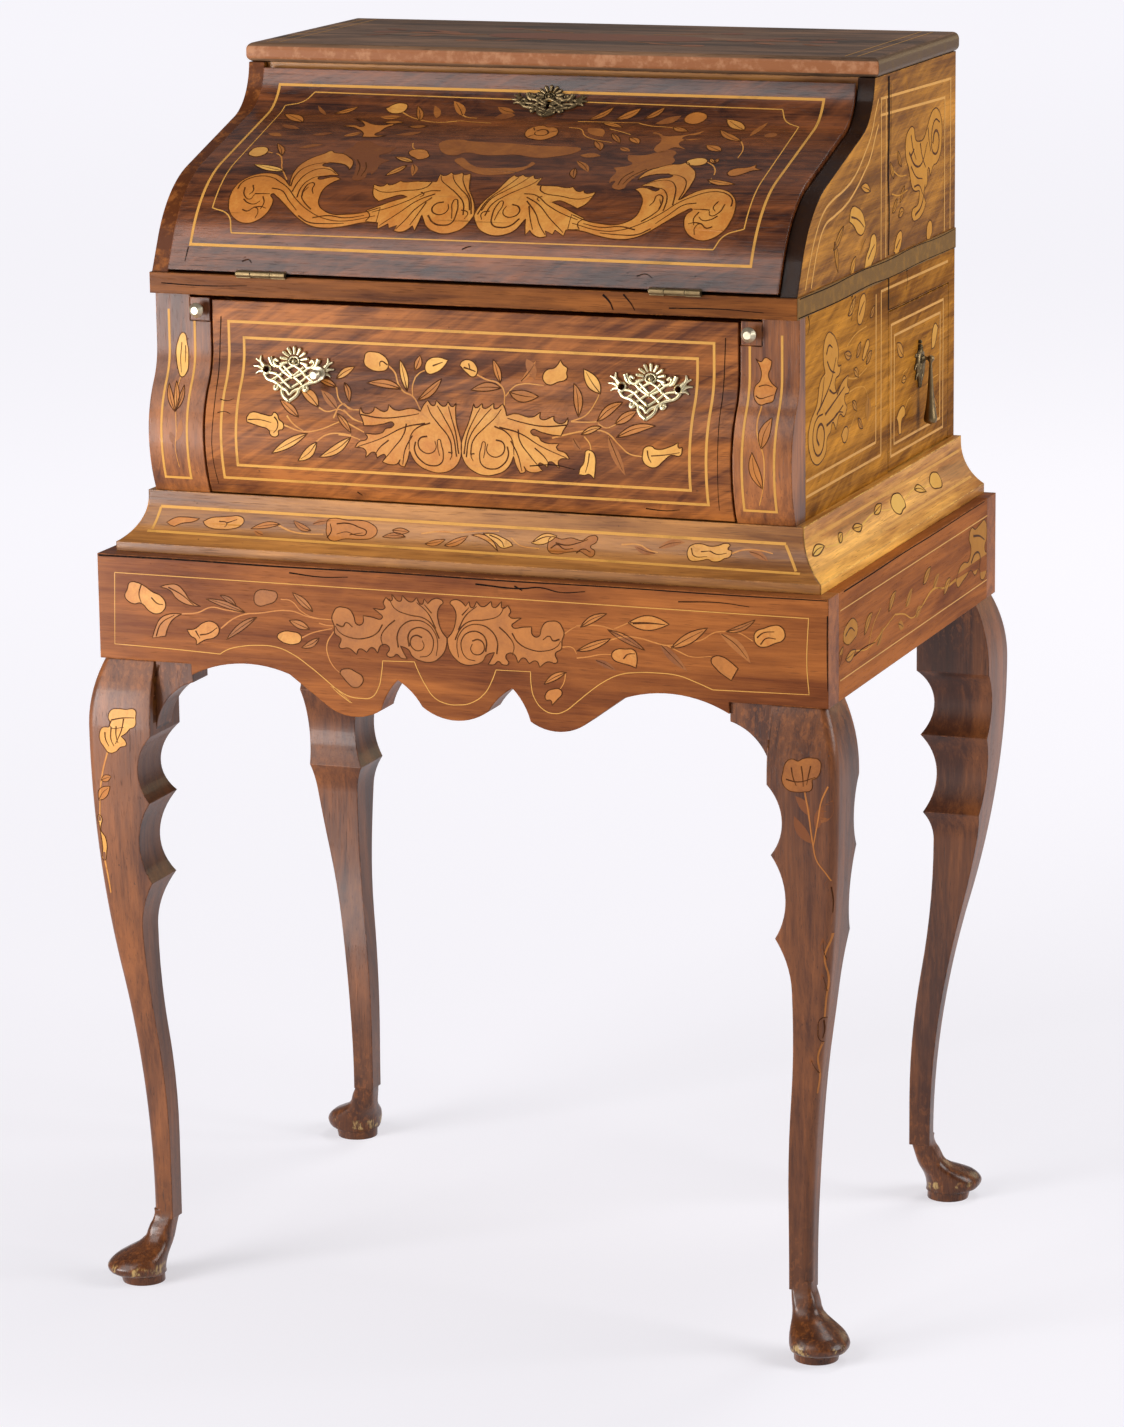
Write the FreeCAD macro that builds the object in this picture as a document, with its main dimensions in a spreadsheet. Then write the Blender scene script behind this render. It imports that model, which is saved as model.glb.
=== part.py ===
import FreeCAD, Part
import Sketcher
import math
import os
import re

doc = FreeCAD.newDocument("escritoire")
sheet = doc.addObject("Spreadsheet::Sheet", "Sizes")

# Driving sizes in millimetres: X across, Y from front to back, Z up, origin on the floor
DRIVING = {
    # Stand
    "stand_width": 660,
    "stand_depth": 500,
    "apron_base": 570,
    "apron_height": 92,
    "apron_thick": 28,
    # Cabriole legs, measured inward from the outer planes of the stand and down from its head
    "leg_thick": 50,
    "leg_head_in": 2,
    "knee_out": 11,
    "knee_drop": 60,
    "ankle_thick": 19.5,
    "ankle_height": 64,
    "ankle_lap": 8,
    "cusp_drop": 65,
    "scallop_high": 60,
    "scallop_mid": 73,
    "scallop_high_radius": 45,
    "scallop_mid_radius": 66,
    "cusp_mid_step": 3,
    "cusp_low_step": 5,
    "post_set": 12,
    "corner_round": 8,
    # The front legs, and the hind legs that sweep further in
    "fore_inner_step": 0,
    "fore_ankle_in": 22.5,
    "fore_scallop_depth": 18,
    "fore_scallop_low": 46,
    "fore_calf_rise": 66,
    "fore_pad_in": 15.5,
    "hind_inner_step": 7,
    "hind_ankle_in": 41.5,
    "hind_scallop_depth": 13,
    "hind_scallop_low": 27,
    "hind_calf_rise": 36,
    "hind_pad_in": 32,
    # Pad foot
    "pad_radius": 19,
    "pad_lap": 1,
    "sole_half": 20,
    "sole_flat": 2,
    "sole_height": 8,
    "toe_step": 2.5,
    "toe_half": 24,
    "toe_flat": 3,
    "toe_height": 21,
    "instep_share": 0.58,
    "instep_half": 14,
    "instep_flat": 5.5,
    "instep_height": 43,
    "ankle_round": 4,
    # Ear brackets
    "ear_length": 86,
    "ear_tail": 17,
    "ear_height": 61,
    "ear_radius": 50,
    "ear_set": 3,
    "ear_thick": 30,
    # Lobed lower edge of the front apron, from the middle outwards
    "middle_reach": 30,
    "middle_drop": 23,
    "middle_radius": 50,
    "notch_run": 22,
    "notch_drop": 1.5,
    "lobe_step": 16,
    "lobe_width": 48,
    "lobe_drop": 29,
    "lobe_radius": 44,
    "slope_radius": 60,
    "arch_run": 36,
    "arch_end_drop": 3,
    "arch_rise": 9.75,
    "tail_drop": 10,
    # Base moulding
    "moulding_inset": 11,
    "moulding_step": 15,
    "moulding_height": 51,
    "moulding_fillet": 8,
    "hollow_depth": 22,
    "hollow_radius": 44,
    "lip_height": 5,
    # Case
    "case_inset": 29,
    "side_thick": 15,
    "back_thick": 12,
    "bottom_thick": 18,
    "stile_width": 51,
    "stile_thick": 15,
    "waist_set": 33,
    "waist_rise": 125,
    "waist_share": 0.4,
    "belly_set": 11,
    "belly_rise": 51,
    "stile_foot_set": 23.4,
    "lower_height": 171,
    "desk_thick": 18,
    "ledge_step": 9,
    "ledge_proud": 1,
    "upper_height": 158,
    "top_thick": 17,
    "top_proud": 3,
    "top_set": 51,
    "top_round": 6,
    # Inside of the lower case
    "partition_set": 218,
    "partition_thick": 12,
    "guide_lap": 1,
    "guide_height": 27,
    "bearer_lap": 8,
    "bearer_set": 4,
    "bearer_height": 44,
    "bearer_lip": 7.8,
    # Side drawer opening in the right side
    "opening_gap": 2,
    "opening_set": 7,
    "opening_drop": 29,
    "side_guide_height": 22,
    # Ogee of the upper sides and the fall
    "cove_set": 158,
    "cove_lift": 3,
    "cove_radius": 48,
    "fall_foot_step": 0.2,
    "shoulder_drop": 19.5,
    "shoulder_radius": 108,
    "foot_slope": 63.4,
    "fall_proud": 2,
    # Fall
    "fall_gap": 1,
    "fall_lift": 3,
    "fall_drop": 4,
    "fall_thin": 8,
    "fall_open": 142.4,
    # Rail under the top
    "rail_set": 55.9,
    "rail_thick": 34.5,
    "rail_height": 30,
    "rail_lip_height": 11,
    # Hinges
    "hinge_inset": 88,
    "hinge_half": 22.5,
    "hinge_out": 2.5,
    "hinge_lift": 2,
    "leaf_depth": 27,
    "leaf_thick": 1.5,
    "knuckle_half": 9,
    "knuckle_gap": 0.4,
    "knuckle_radius": 2.6,
    "pin_radius": 1.2,
    "pin_clearance": 0.4,
    # Lock and bolt
    "lock_half": 28,
    "lock_length": 30,
    "lock_proud": 2.5,
    "lock_let_in": 3.5,
    "bolt_half": 7,
    "bolt_length": 22,
    "bolt_thick": 3,
    "bolt_clearance": 0.4,
    "bolt_set_back": 0.3,
    "bolt_throw": 9,
    "mortise_clearance": 1,
    # Escutcheon
    "escutcheon_half": 35,
    "escutcheon_rise": 13,
    "escutcheon_drop": 23.5,
    "keyhole_radius": 2.2,
    "keyhole_half": 1.1,
    "keyhole_drop": 7,
    "keyhole_reach": 22,
    # Brass plates
    "plate_thick": 1.6,
    "plate_spare": 8,
    "seat_gap": 0.3,
    "plate_inset": 76,
    "plate_lift": 108,
    "plate_half": 40,
    "plate_rise": 24,
    "post_hole_reach": 25,
    "post_hole_radius": 2.5,
    "post_base_radius": 6,
    "post_neck_radius": 3,
    "post_head_radius": 5,
    "post_base": 9,
    "post_neck": 14,
    "post_head": 20,
    # Front drawer
    "drawer_gap": 2,
    "drawer_foot_gap": 1.5,
    "drawer_head_gap": 5,
    "drawer_front_thick": 24,
    "drawer_side_step": 0.5,
    "drawer_side_thick": 12,
    "drawer_side_gap": 6,
    "drawer_back_gap": 8,
    "drawer_lift": 0.6,
    "drawer_floor": 6,
    "drawer_bottom_thick": 6,
    # Side drawer
    "side_drawer_thick": 18,
    "side_drawer_gap": 1,
    "side_drawer_play": 2,
    "side_drawer_wall": 10,
    "side_drawer_step": 17,
    "side_drawer_short": 80,
    # Drop handle
    "drop_half": 22,
    "drop_rise": 23,
    "drop_plate_lift": 82,
    "drop_pivot_out": 11,
    "drop_pivot_lift": 5,
    "cheek_gap": 3,
    "cheek_thick": 2,
    "cheek_radius": 3,
    "drop_pin_radius": 1.3,
    "drop_bore_radius": 1.7,
    "drop_eye_radius": 4,
    "drop_eye_half": 2.5,
    "drop_neck": 2,
    "drop_flare": 8,
    "drop_length": 48,
    "drop_rim_thick": 6,
    "drop_tip": 5,
    # Lopers
    "loper_thick": 18,
    "loper_drop": 3.5,
    "loper_height": 20,
    "loper_stop_gap": 4,
    "loper_gap": 0.5,
    "knob_stem": 3.2,
    "knob_neck_length": 4,
    "knob_radius": 6.5,
    "knob_length": 12,
    # Inside of the desk
    "bed_gap": 2,
    "tier_height": 44,
    "shelf_thick": 7,
    "shelf_set": 84,
    "divider_thick": 6,
    "divider_step": 8,
    "divider_scoop": 55,
    "near_bay_share": 0.1964,
    "far_bay_share": 0.5891,
    "cell_share": 0.3273,
    "small_drawer_gap": 0.7,
    "small_drawer_step": 2,
    "small_drawer_stop": 6,
    "small_wall": 6,
    "small_front_thick": 10,
    "small_knob_radius": 5,
    "small_knob_length": 10,
}

# Sizes that follow from the driving ones
DERIVED = {
    "half_width": "stand_width / 2",
    "half_depth": "stand_depth / 2",
    "apron_top": "apron_base + apron_height",
    # Leg and foot
    "knee_height": "apron_base - knee_drop",
    "ankle_foot": "ankle_height - ankle_lap",
    "cusp_high": "apron_base - cusp_drop",
    "cusp_mid": "cusp_high - scallop_high",
    "cusp_low": "cusp_mid - scallop_mid",
    "post_top": "apron_top - post_set",
    "pad_height": "sole_height + pad_lap",
    "sole_round": "sole_half - sole_flat",
    "toe_round": "toe_half - toe_flat",
    "instep_round": "instep_half - instep_flat",
    "knee_top_radius": "(knee_drop^2 + (leg_head_in + knee_out)^2) / (2 * (leg_head_in + knee_out))",
    "leg_drop": "knee_height - ankle_height",
    # Ear brackets and lobed edge
    "ear_reach": "half_width - ear_length",
    "ear_drop": "apron_base - ear_tail",
    "ear_foot": "apron_base - ear_height",
    "tail_base": "apron_base - tail_drop",
    "notch_reach": "middle_reach + notch_run",
    "lobe_inner": "notch_reach + lobe_step",
    "lobe_outer": "lobe_inner + lobe_width",
    "arch_end": "lobe_outer + arch_run",
    "middle_height": "apron_base - middle_drop",
    "notch_height": "apron_base - notch_drop",
    "lobe_height": "apron_base - lobe_drop",
    "arch_end_height": "apron_base - arch_end_drop",
    "arch_half": "sqrt((ear_reach - arch_end)^2 + (tail_drop - arch_end_drop)^2) / 2",
    "arch_radius": "(arch_half^2 + arch_rise^2) / (2 * arch_rise)",
    # Moulding and case
    "moulding_half": "half_width - moulding_inset",
    "moulding_front": "half_depth - moulding_step",
    "case_half": "moulding_half - case_inset",
    "inner_half": "case_half - side_thick",
    "case_back": "half_depth",
    "back_inner": "case_back - back_thick",
    "case_base": "apron_top + moulding_height",
    "lip_half": "moulding_half - hollow_depth",
    "lip_front": "moulding_front - hollow_depth",
    "mitre_depth": "moulding_half - inner_half",
    "frame_front": "moulding_front - mitre_depth",
    "waist_front": "moulding_front - waist_set",
    "waist_height": "case_base + waist_rise",
    "belly_front": "moulding_front - belly_set",
    "belly_height": "case_base + belly_rise",
    "stile_foot_front": "moulding_front - stile_foot_set",
    "stile_back": "waist_front - stile_thick",
    "stile_inner": "case_half - stile_width",
    "swell": "waist_set - belly_set",
    "swell_drop": "waist_rise - belly_rise",
    "swell_radii": "(swell_drop^2 + swell^2) / (2 * swell)",
    "foot_return": "stile_foot_set - belly_set",
    "belly_foot_radius": "(belly_rise^2 + foot_return^2) / (2 * foot_return)",
    "desk_under": "case_base + lower_height",
    "desk_top": "desk_under + desk_thick",
    "ledge_front": "waist_front + ledge_step",
    "ledge_half": "case_half + ledge_proud",
    "case_top": "desk_top + upper_height",
    "top_half": "case_half + top_proud",
    "partition_front": "case_back - partition_set",
    "guide_inner": "stile_inner - guide_lap",
    "bearer_inner": "stile_inner - bearer_lap",
    "bearer_base": "desk_under - bearer_height",
    "opening_front": "partition_front + partition_thick + opening_gap",
    "opening_back": "back_inner - opening_set",
    "opening_top": "desk_under - opening_drop",
    # Ogee and fall
    "cove_y": "cove_set - waist_front",
    "cove_z": "case_top + cove_lift",
    "slope_sin": "sin(foot_slope * 1deg)",
    "slope_cos": "cos(foot_slope * 1deg)",
    "side_cove": "cove_radius + fall_proud",
    "side_shoulder": "shoulder_radius - fall_proud",
    "fall_cove": "cove_radius - fall_proud",
    "fall_shoulder": "shoulder_radius + fall_proud",
    "fall_foot": "desk_top + fall_lift",
    "shoulder_z": "desk_top - shoulder_drop",
    "bend_rise": "shoulder_z + fall_shoulder * slope_cos - fall_foot",
    "shoulder_y": "fall_foot_step - ledge_front + fall_shoulder * slope_sin + bend_rise * slope_cos / slope_sin",
    "ogee_span": "sqrt((cove_y - shoulder_y)^2 + (cove_z - shoulder_z)^2)",
    "ogee_turn": "acos((cove_radius + shoulder_radius) / ogee_span) / 1deg",
    "ogee_angle": "atan2(cove_z - shoulder_z; cove_y - shoulder_y) / 1deg + ogee_turn",
    "ogee_cos": "cos(ogee_angle * 1deg)",
    "ogee_sin": "sin(ogee_angle * 1deg)",
    "fall_half": "inner_half - fall_gap",
    "fall_head": "case_top - fall_drop",
    "hinge_reach": "fall_half - hinge_inset",
    "hinge_front": "ledge_front + hinge_out",
    "hinge_height": "desk_top + hinge_lift",
    "leaf_back": "ledge_front - leaf_depth",
    "escutcheon_height": "fall_head - escutcheon_drop",
    "top_front": "-cove_y - top_set",
    "rail_front": "cove_y + rail_set",
    "rail_back": "rail_front + rail_thick",
    "rail_base": "case_top - rail_height",
    "rail_lip": "case_top - rail_lip_height",
    "lean": "180 - fall_open",
    "lean_sin": "sin(lean * 1deg)",
    "lean_cos": "cos(lean * 1deg)",
    "face_reach": "fall_cove + fall_thin",
    "head_y": "cove_y + sqrt(fall_cove^2 - (cove_z - fall_head)^2)",
    "head_thick": "face_reach - (head_y - cove_y) * lean_sin + (fall_head - cove_z) * lean_cos",
    "end_y": "head_y + head_thick * lean_sin",
    "end_z": "fall_head - head_thick * lean_cos",
    "hinge_depth": "face_reach + (hinge_front + cove_y) * lean_sin + (hinge_height - cove_z) * lean_cos",
    "rail_run": "(rail_lip - rail_base) * lean_sin / lean_cos",
    # Drawers and lopers
    "drawer_half": "stile_inner - drawer_gap",
    "drawer_side_half": "drawer_half - drawer_side_step",
    "drawer_foot": "case_base + drawer_foot_gap",
    "drawer_head": "desk_under - drawer_head_gap",
    "drawer_front_back": "waist_front - drawer_front_thick",
    "drawer_side_top": "bearer_base - drawer_side_gap",
    "drawer_back_y": "partition_front - drawer_back_gap",
    "bearer_front": "drawer_front_back - bearer_set",
    "plate_reach": "drawer_half - plate_inset",
    "plate_height": "case_base + plate_lift",
    "plate_front": "belly_front + plate_spare",
    "plate_back": "waist_front - plate_spare",
    "side_drawer_top": "opening_top - side_drawer_step",
    "side_drawer_end": "inner_half - side_drawer_short",
    "drop_x": "case_half + drop_pivot_out",
    "drop_y": "(opening_front + opening_back) / 2",
    "drop_plate_height": "case_base + drop_plate_lift",
    "drop_pivot_height": "drop_plate_height + drop_pivot_lift",
    "drop_flare_height": "drop_pivot_height - drop_length",
    "drop_rim_height": "drop_flare_height - drop_rim_thick",
    "drop_tip_height": "drop_rim_height - drop_tip",
    "loper_inner": "stile_inner + loper_gap",
    "loper_outer": "loper_inner + loper_thick",
    "loper_head": "desk_under - loper_drop",
    "loper_base": "loper_head - loper_height",
    "loper_back": "partition_front - loper_stop_gap",
    # Inside of the desk
    "bed_top": "hinge_height + hinge_depth",
    "shelf_low": "bed_top + tier_height",
    "shelf_top": "shelf_low + shelf_thick",
    "shelf_front": "cove_y + shelf_set",
    "divider_front": "shelf_front + divider_step",
    "divider_near": "inner_half * near_bay_share",
    "divider_far": "inner_half * far_bay_share",
    "cell_half": "inner_half * cell_share",
    "small_drawer_front": "shelf_front + small_drawer_step",
    "small_drawer_back": "back_inner - small_drawer_stop",
}

# Sizes that each pattern of leg has of its own
LEG_SIZES = {
    "shift": "knee_out + KIND_ankle_in",
    "radius": "(leg_drop^2 + KIND_shift^2) / (4 * KIND_shift)",
    "inner": "leg_thick + KIND_inner_step",
    "calf_in": "KIND_ankle_in + ankle_thick",
    "calf_height": "ankle_height + KIND_calf_rise",
    "scallop_in": "KIND_inner - KIND_scallop_depth",
    "scallop_height": "cusp_low - KIND_scallop_low",
    "calf_drop": "KIND_scallop_height - KIND_calf_height",
    "calf_shift": "KIND_calf_in - KIND_scallop_in",
    "calf_radius": "(KIND_calf_drop^2 + KIND_calf_shift^2) / (4 * KIND_calf_shift)",
    "cusp_step": "KIND_scallop_depth - cusp_low_step",
    "scallop_radius": "(KIND_scallop_low^2 + KIND_cusp_step^2) / (2 * KIND_cusp_step)",
    "reach": "max(KIND_inner; KIND_calf_in)",
    "ankle_mid": "KIND_ankle_in + ankle_thick / 2",
    "toe_in": "KIND_pad_in - toe_step",
    "instep_in": "KIND_pad_in + (KIND_ankle_mid - KIND_pad_in) * instep_share",
}
for kind in ("fore", "hind"):
    for name, formula in LEG_SIZES.items():
        DERIVED[f"{kind}_{name}"] = formula.replace("KIND", kind)

for row, (alias, amount) in enumerate(DRIVING.items(), 1):
    sheet.set(f"A{row}", alias)
    sheet.set(f"B{row}", str(amount))
    sheet.setAlias(f"B{row}", alias)
for row, (alias, formula) in enumerate(DERIVED.items(), 1):
    sheet.set(f"D{row}", alias)
    sheet.set(f"E{row}", "=" + formula)
    sheet.setAlias(f"E{row}", alias)
doc.recompute()

ALIASES = set(DRIVING) | set(DERIVED)
WORD = re.compile(r"[A-Za-z_][A-Za-z_0-9]*")


def bound(text):
    """Expression text with each size name turned into a reference to its cell."""
    return WORD.sub(lambda m: "Sizes." + m.group(0) if m.group(0) in ALIASES else m.group(0), text)


def amount_of(text):
    """Present value of an expression over the sizes."""
    return float(sheet.evalExpression(bound(text)))


def board(label, across, deep, high):
    """Rectangular board between expression limits on X, Y and Z."""
    box = doc.addObject("Part::Box", label)
    box.Label = label
    limits = (across, deep, high)
    for side, axis, (low, far) in zip(("Length", "Width", "Height"), "xyz", limits):
        box.setExpression(side, bound(f"({far}) - ({low})"))
        box.setExpression(f"Placement.Base.{axis}", bound(low))
    return box


def rod(label, radius, start, length, axis):
    """Cylinder from a start point along an axis, sizes and place bound to the sheet."""
    cylinder = doc.addObject("Part::Cylinder", label)
    cylinder.Label = label
    turn = FreeCAD.Rotation(FreeCAD.Vector(0, 0, 1), FreeCAD.Vector(*axis))
    cylinder.Placement = FreeCAD.Placement(FreeCAD.Vector(), turn)
    cylinder.setExpression("Radius", bound(radius))
    cylinder.setExpression("Height", bound(length))
    for name, place in zip("xyz", start):
        cylinder.setExpression(f"Placement.Base.{name}", bound(place))
    return cylinder


def bind_constraint(sketch, kind, where, text):
    """Dimension in a sketch, driven by an expression."""
    index = sketch.addConstraint(Sketcher.Constraint(kind, *where, amount_of(text)))
    sketch.setExpression(f"Constraints[{index}]", bound(text))


def outline(sketch, corners):
    """Closed loop of lines and arcs; a corner may carry the radius and hand of the arc that leaves it."""
    points = [FreeCAD.Vector(amount_of(c[0]), amount_of(c[1]), 0) for c in corners]
    first = sketch.GeometryCount
    ends = []
    for index, corner in enumerate(corners):
        start = points[index]
        finish = points[(index + 1) % len(points)]
        if len(corner) == 2:
            sketch.addGeometry(Part.LineSegment(start, finish))
            ends.append((1, 2))
            continue
        radius = amount_of(corner[2])
        along = finish - start
        left = FreeCAD.Vector(-along.y, along.x, 0).normalize()
        rise = math.sqrt(radius ** 2 - (along.Length / 2) ** 2)
        centre = (start + finish) / 2 + left * rise * corner[3]
        pair = (start, finish) if corner[3] > 0 else (finish, start)
        angles = [math.atan2(p.y - centre.y, p.x - centre.x) for p in pair]
        circle = Part.Circle(centre, FreeCAD.Vector(0, 0, 1), radius)
        sketch.addGeometry(Part.ArcOfCircle(circle, *angles))
        ends.append((1, 2) if corner[3] > 0 else (2, 1))
    for index, corner in enumerate(corners):
        after = (index + 1) % len(corners)
        here = (first + index, ends[index][0])
        sketch.addConstraint(
            Sketcher.Constraint("Coincident", first + index, ends[index][1], first + after, ends[after][0]))
        bind_constraint(sketch, "DistanceX", (-1, 1) + here, corner[0])
        bind_constraint(sketch, "DistanceY", (-1, 1) + here, corner[1])
        if len(corner) > 2:
            bind_constraint(sketch, "Radius", (first + index,), corner[2])


def hole(sketch, across, up, radius):
    """Round hole in a sketch."""
    centre = FreeCAD.Vector(amount_of(across), amount_of(up), 0)
    index = sketch.addGeometry(Part.Circle(centre, FreeCAD.Vector(0, 0, 1), amount_of(radius)))
    bind_constraint(sketch, "DistanceX", (-1, 1, index, 3), across)
    bind_constraint(sketch, "DistanceY", (-1, 1, index, 3), up)
    bind_constraint(sketch, "Radius", (index,), radius)


def sketch_on(body, name, plane, offset):
    """Sketch on one of the body's own planes, moved along the plane's normal."""
    sketch = body.newObject("Sketcher::SketchObject", name)
    support = [f for f in body.Origin.OriginFeatures if f.Role == plane + "_Plane"][0]
    sketch.AttachmentSupport = [(support, "")]
    sketch.MapMode = "FlatFace"
    sketch.setExpression("AttachmentOffset.Base.z", bound(offset))
    return sketch


def prism(label, plane, low, far, corners, holes=()):
    """Outline padded between two limits on the axis across its plane."""
    body = doc.addObject("PartDesign::Body", label)
    body.Label = label
    sketch = sketch_on(body, label + "_outline", plane, f"-({far})" if plane == "XZ" else low)
    outline(sketch, corners)
    for across, up, radius in holes:
        hole(sketch, across, up, radius)
    pad = body.newObject("PartDesign::Pad", label + "_pad")
    pad.Profile = sketch
    pad.setExpression("Length", bound(f"({far}) - ({low})"))
    return body


def turned(label, place, tilt, corners):
    """Profile of radius and length turned about its axis; tilt brings the axis from Z to its direction."""
    body = doc.addObject("PartDesign::Body", label)
    body.Label = label
    sketch = sketch_on(body, label + "_profile", "XZ", "0")
    outline(sketch, corners)
    turn = body.newObject("PartDesign::Revolution", label + "_turning")
    turn.Profile = sketch
    turn.ReferenceAxis = (sketch, ["V_Axis"])
    turn.Angle = 360
    body.Placement = FreeCAD.Placement(FreeCAD.Vector(), FreeCAD.Rotation(FreeCAD.Vector(1, 0, 0), tilt))
    for name, where in zip("xyz", place):
        body.setExpression(f"Placement.Base.{name}", bound(where))
    return body


def fuse(label, pieces):
    """One solid from overlapping pieces."""
    joined = doc.addObject("Part::MultiFuse", label)
    joined.Label = label
    joined.Shapes = pieces
    return joined


def cut(label, base, tools):
    """Base with the tools taken out of it."""
    result = doc.addObject("Part::Cut", label)
    result.Label = label
    result.Base = base
    result.Tool = tools[0] if len(tools) == 1 else fuse(label + "_tools", tools)
    return result


def common(label, base, tool):
    """What two shapes share."""
    result = doc.addObject("Part::Common", label)
    result.Label = label
    result.Base = base
    result.Tool = tool
    return result


def mirror(label, source, normal):
    """Handed copy across a plane through the origin."""
    copy = doc.addObject("Part::Mirroring", label)
    copy.Label = label
    copy.Source = source
    copy.Normal = FreeCAD.Vector(*normal)
    return copy


def group(label, pieces):
    """Matching separate solids kept as one node."""
    compound = doc.addObject("Part::Compound", label)
    compound.Label = label
    compound.Links = pieces
    return compound


def leaning(label, across, along, out):
    """Board in the frame of the fall's writing face, measured from the end of that face."""
    box = doc.addObject("Part::Box", label)
    box.Label = label
    box.Placement = FreeCAD.Placement(
        FreeCAD.Vector(), FreeCAD.Rotation(FreeCAD.Vector(1, 0, 0), amount_of("lean")))
    for side, (low, far) in zip(("Length", "Width", "Height"), (across, along, out)):
        box.setExpression(side, bound(f"({far}) - ({low})"))
    box.setExpression("Placement.Rotation.Angle", bound("lean * 1deg"))
    box.setExpression("Placement.Base.x", bound(across[0]))
    box.setExpression("Placement.Base.y", bound(f"end_y + ({along[0]}) * lean_cos - ({out[0]}) * lean_sin"))
    box.setExpression("Placement.Base.z", bound(f"end_z + ({along[0]}) * lean_sin + ({out[0]}) * lean_cos"))
    return box


# Cabriole legs: one curve sawn on two faces, rounded outer corner, lofted pad foot
def leg_curve(kind, place, hand):
    """Leg outline as seen square to one face; place turns an inward distance into a coordinate."""
    middle = "(knee_height + ankle_height) / 2"
    calf = f"({kind}_scallop_height + {kind}_calf_height) / 2"
    return [
        (place("leg_head_in"), "apron_base", "knee_top_radius", -hand),
        (place("-knee_out"), "knee_height", f"{kind}_radius", -hand),
        (place(f"{kind}_shift / 2 - knee_out"), middle, f"{kind}_radius", hand),
        (place(f"{kind}_ankle_in"), "ankle_height"),
        (place(f"{kind}_ankle_in"), "ankle_foot"),
        (place(f"{kind}_calf_in"), "ankle_foot"),
        (place(f"{kind}_calf_in"), f"{kind}_calf_height", f"{kind}_calf_radius", -hand),
        (place(f"({kind}_scallop_in + {kind}_calf_in) / 2"), calf, f"{kind}_calf_radius", hand),
        (place(f"{kind}_scallop_in"), f"{kind}_scallop_height", f"{kind}_scallop_radius", hand),
        (place(f"{kind}_inner - cusp_low_step"), "cusp_low", "scallop_mid_radius", hand),
        (place(f"{kind}_inner - cusp_mid_step"), "cusp_mid", "scallop_high_radius", hand),
        (place(f"{kind}_inner"), "cusp_high"),
        (place(f"{kind}_inner"), "apron_base"),
    ]


def rounded_square(body, name, inward, half, corner, height):
    """Loft section of the foot, centred on the leg's diagonal."""
    across = f"half_width - {inward}"
    deep = f"{inward} - half_depth"
    flat = f"({half} - {corner})"
    sketch = sketch_on(body, name, "XY", height)
    outline(sketch, [
        (f"{across} + {half}", f"{deep} - {flat}"),
        (f"{across} + {half}", f"{deep} + {flat}", corner, 1),
        (f"{across} + {flat}", f"{deep} + {half}"),
        (f"{across} - {flat}", f"{deep} + {half}", corner, 1),
        (f"{across} - {half}", f"{deep} + {flat}"),
        (f"{across} - {half}", f"{deep} - {flat}", corner, 1),
        (f"{across} - {flat}", f"{deep} - {half}"),
        (f"{across} + {flat}", f"{deep} - {half}", corner, 1),
    ])
    return sketch


def leg_pieces(kind):
    """Pieces of one leg at the front right corner: sawn and rounded shaft, post, foot and pad."""
    face = prism(f"{kind}_face", "XZ", "-half_depth - knee_out", f"{kind}_reach - half_depth",
                 leg_curve(kind, lambda k: f"half_width - ({k})", 1))
    flank = prism(f"{kind}_flank", "YZ", f"half_width - {kind}_reach", "half_width + knee_out",
                  leg_curve(kind, lambda k: f"({k}) - half_depth", -1))
    sawn = common(f"{kind}_sawn", face, flank)
    doc.recompute()
    head_limit = amount_of(f"({kind}_inner + leg_head_in) / 2")
    foot_limit = amount_of(f"{kind}_ankle_mid")
    corner_edges = []
    for index, edge in enumerate(sawn.Shape.Edges, 1):
        middle = edge.valueAt((edge.FirstParameter + edge.LastParameter) / 2)
        inward = max(amount_of("half_width") - middle.x, middle.y + amount_of("half_depth"))
        down_share = 1 - middle.z / amount_of("apron_base")
        tall = edge.BoundBox.ZLength > edge.BoundBox.XLength
        if tall and inward < head_limit + (foot_limit - head_limit) * down_share:
            corner_edges.append((index, amount_of("corner_round"), amount_of("corner_round")))
    shaft = doc.addObject("Part::Fillet", f"{kind}_shaft")
    shaft.Base = sawn
    shaft.Edges = corner_edges
    bulb = doc.addObject("PartDesign::Body", f"{kind}_bulb")
    sections = [
        rounded_square(bulb, f"{kind}_ankle_section", f"{kind}_ankle_mid", "(ankle_thick / 2)", "ankle_round",
                       "ankle_height"),
        rounded_square(bulb, f"{kind}_instep_section", f"{kind}_instep_in", "instep_half", "instep_round",
                       "instep_height"),
        rounded_square(bulb, f"{kind}_toe_section", f"{kind}_toe_in", "toe_half", "toe_round", "toe_height"),
        rounded_square(bulb, f"{kind}_sole_section", f"{kind}_pad_in", "sole_half", "sole_round", "sole_height"),
    ]
    loft = bulb.newObject("PartDesign::AdditiveLoft", f"{kind}_loft")
    loft.Profile = sections[0]
    loft.Sections = sections[1:]
    pad = rod(f"{kind}_pad", "pad_radius", (f"half_width - {kind}_pad_in", f"{kind}_pad_in - half_depth", "0"),
              "pad_height", (0, 0, 1))
    post = board(f"{kind}_post", ("half_width - leg_thick", "half_width - apron_thick"),
                 ("apron_thick - half_depth", "leg_thick - half_depth"), ("apron_base", "post_top"))
    return [shaft, post, bulb, pad]


leg_front_right = fuse("leg_front_right", leg_pieces("fore"))
leg_front_left = mirror("leg_front_left", leg_front_right, (1, 0, 0))
hind_pattern = fuse("hind_pattern", leg_pieces("hind"))
leg_back_right = mirror("leg_back_right", hind_pattern, (0, 1, 0))
leg_back_left = mirror("leg_back_left", leg_back_right, (1, 0, 0))

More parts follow.
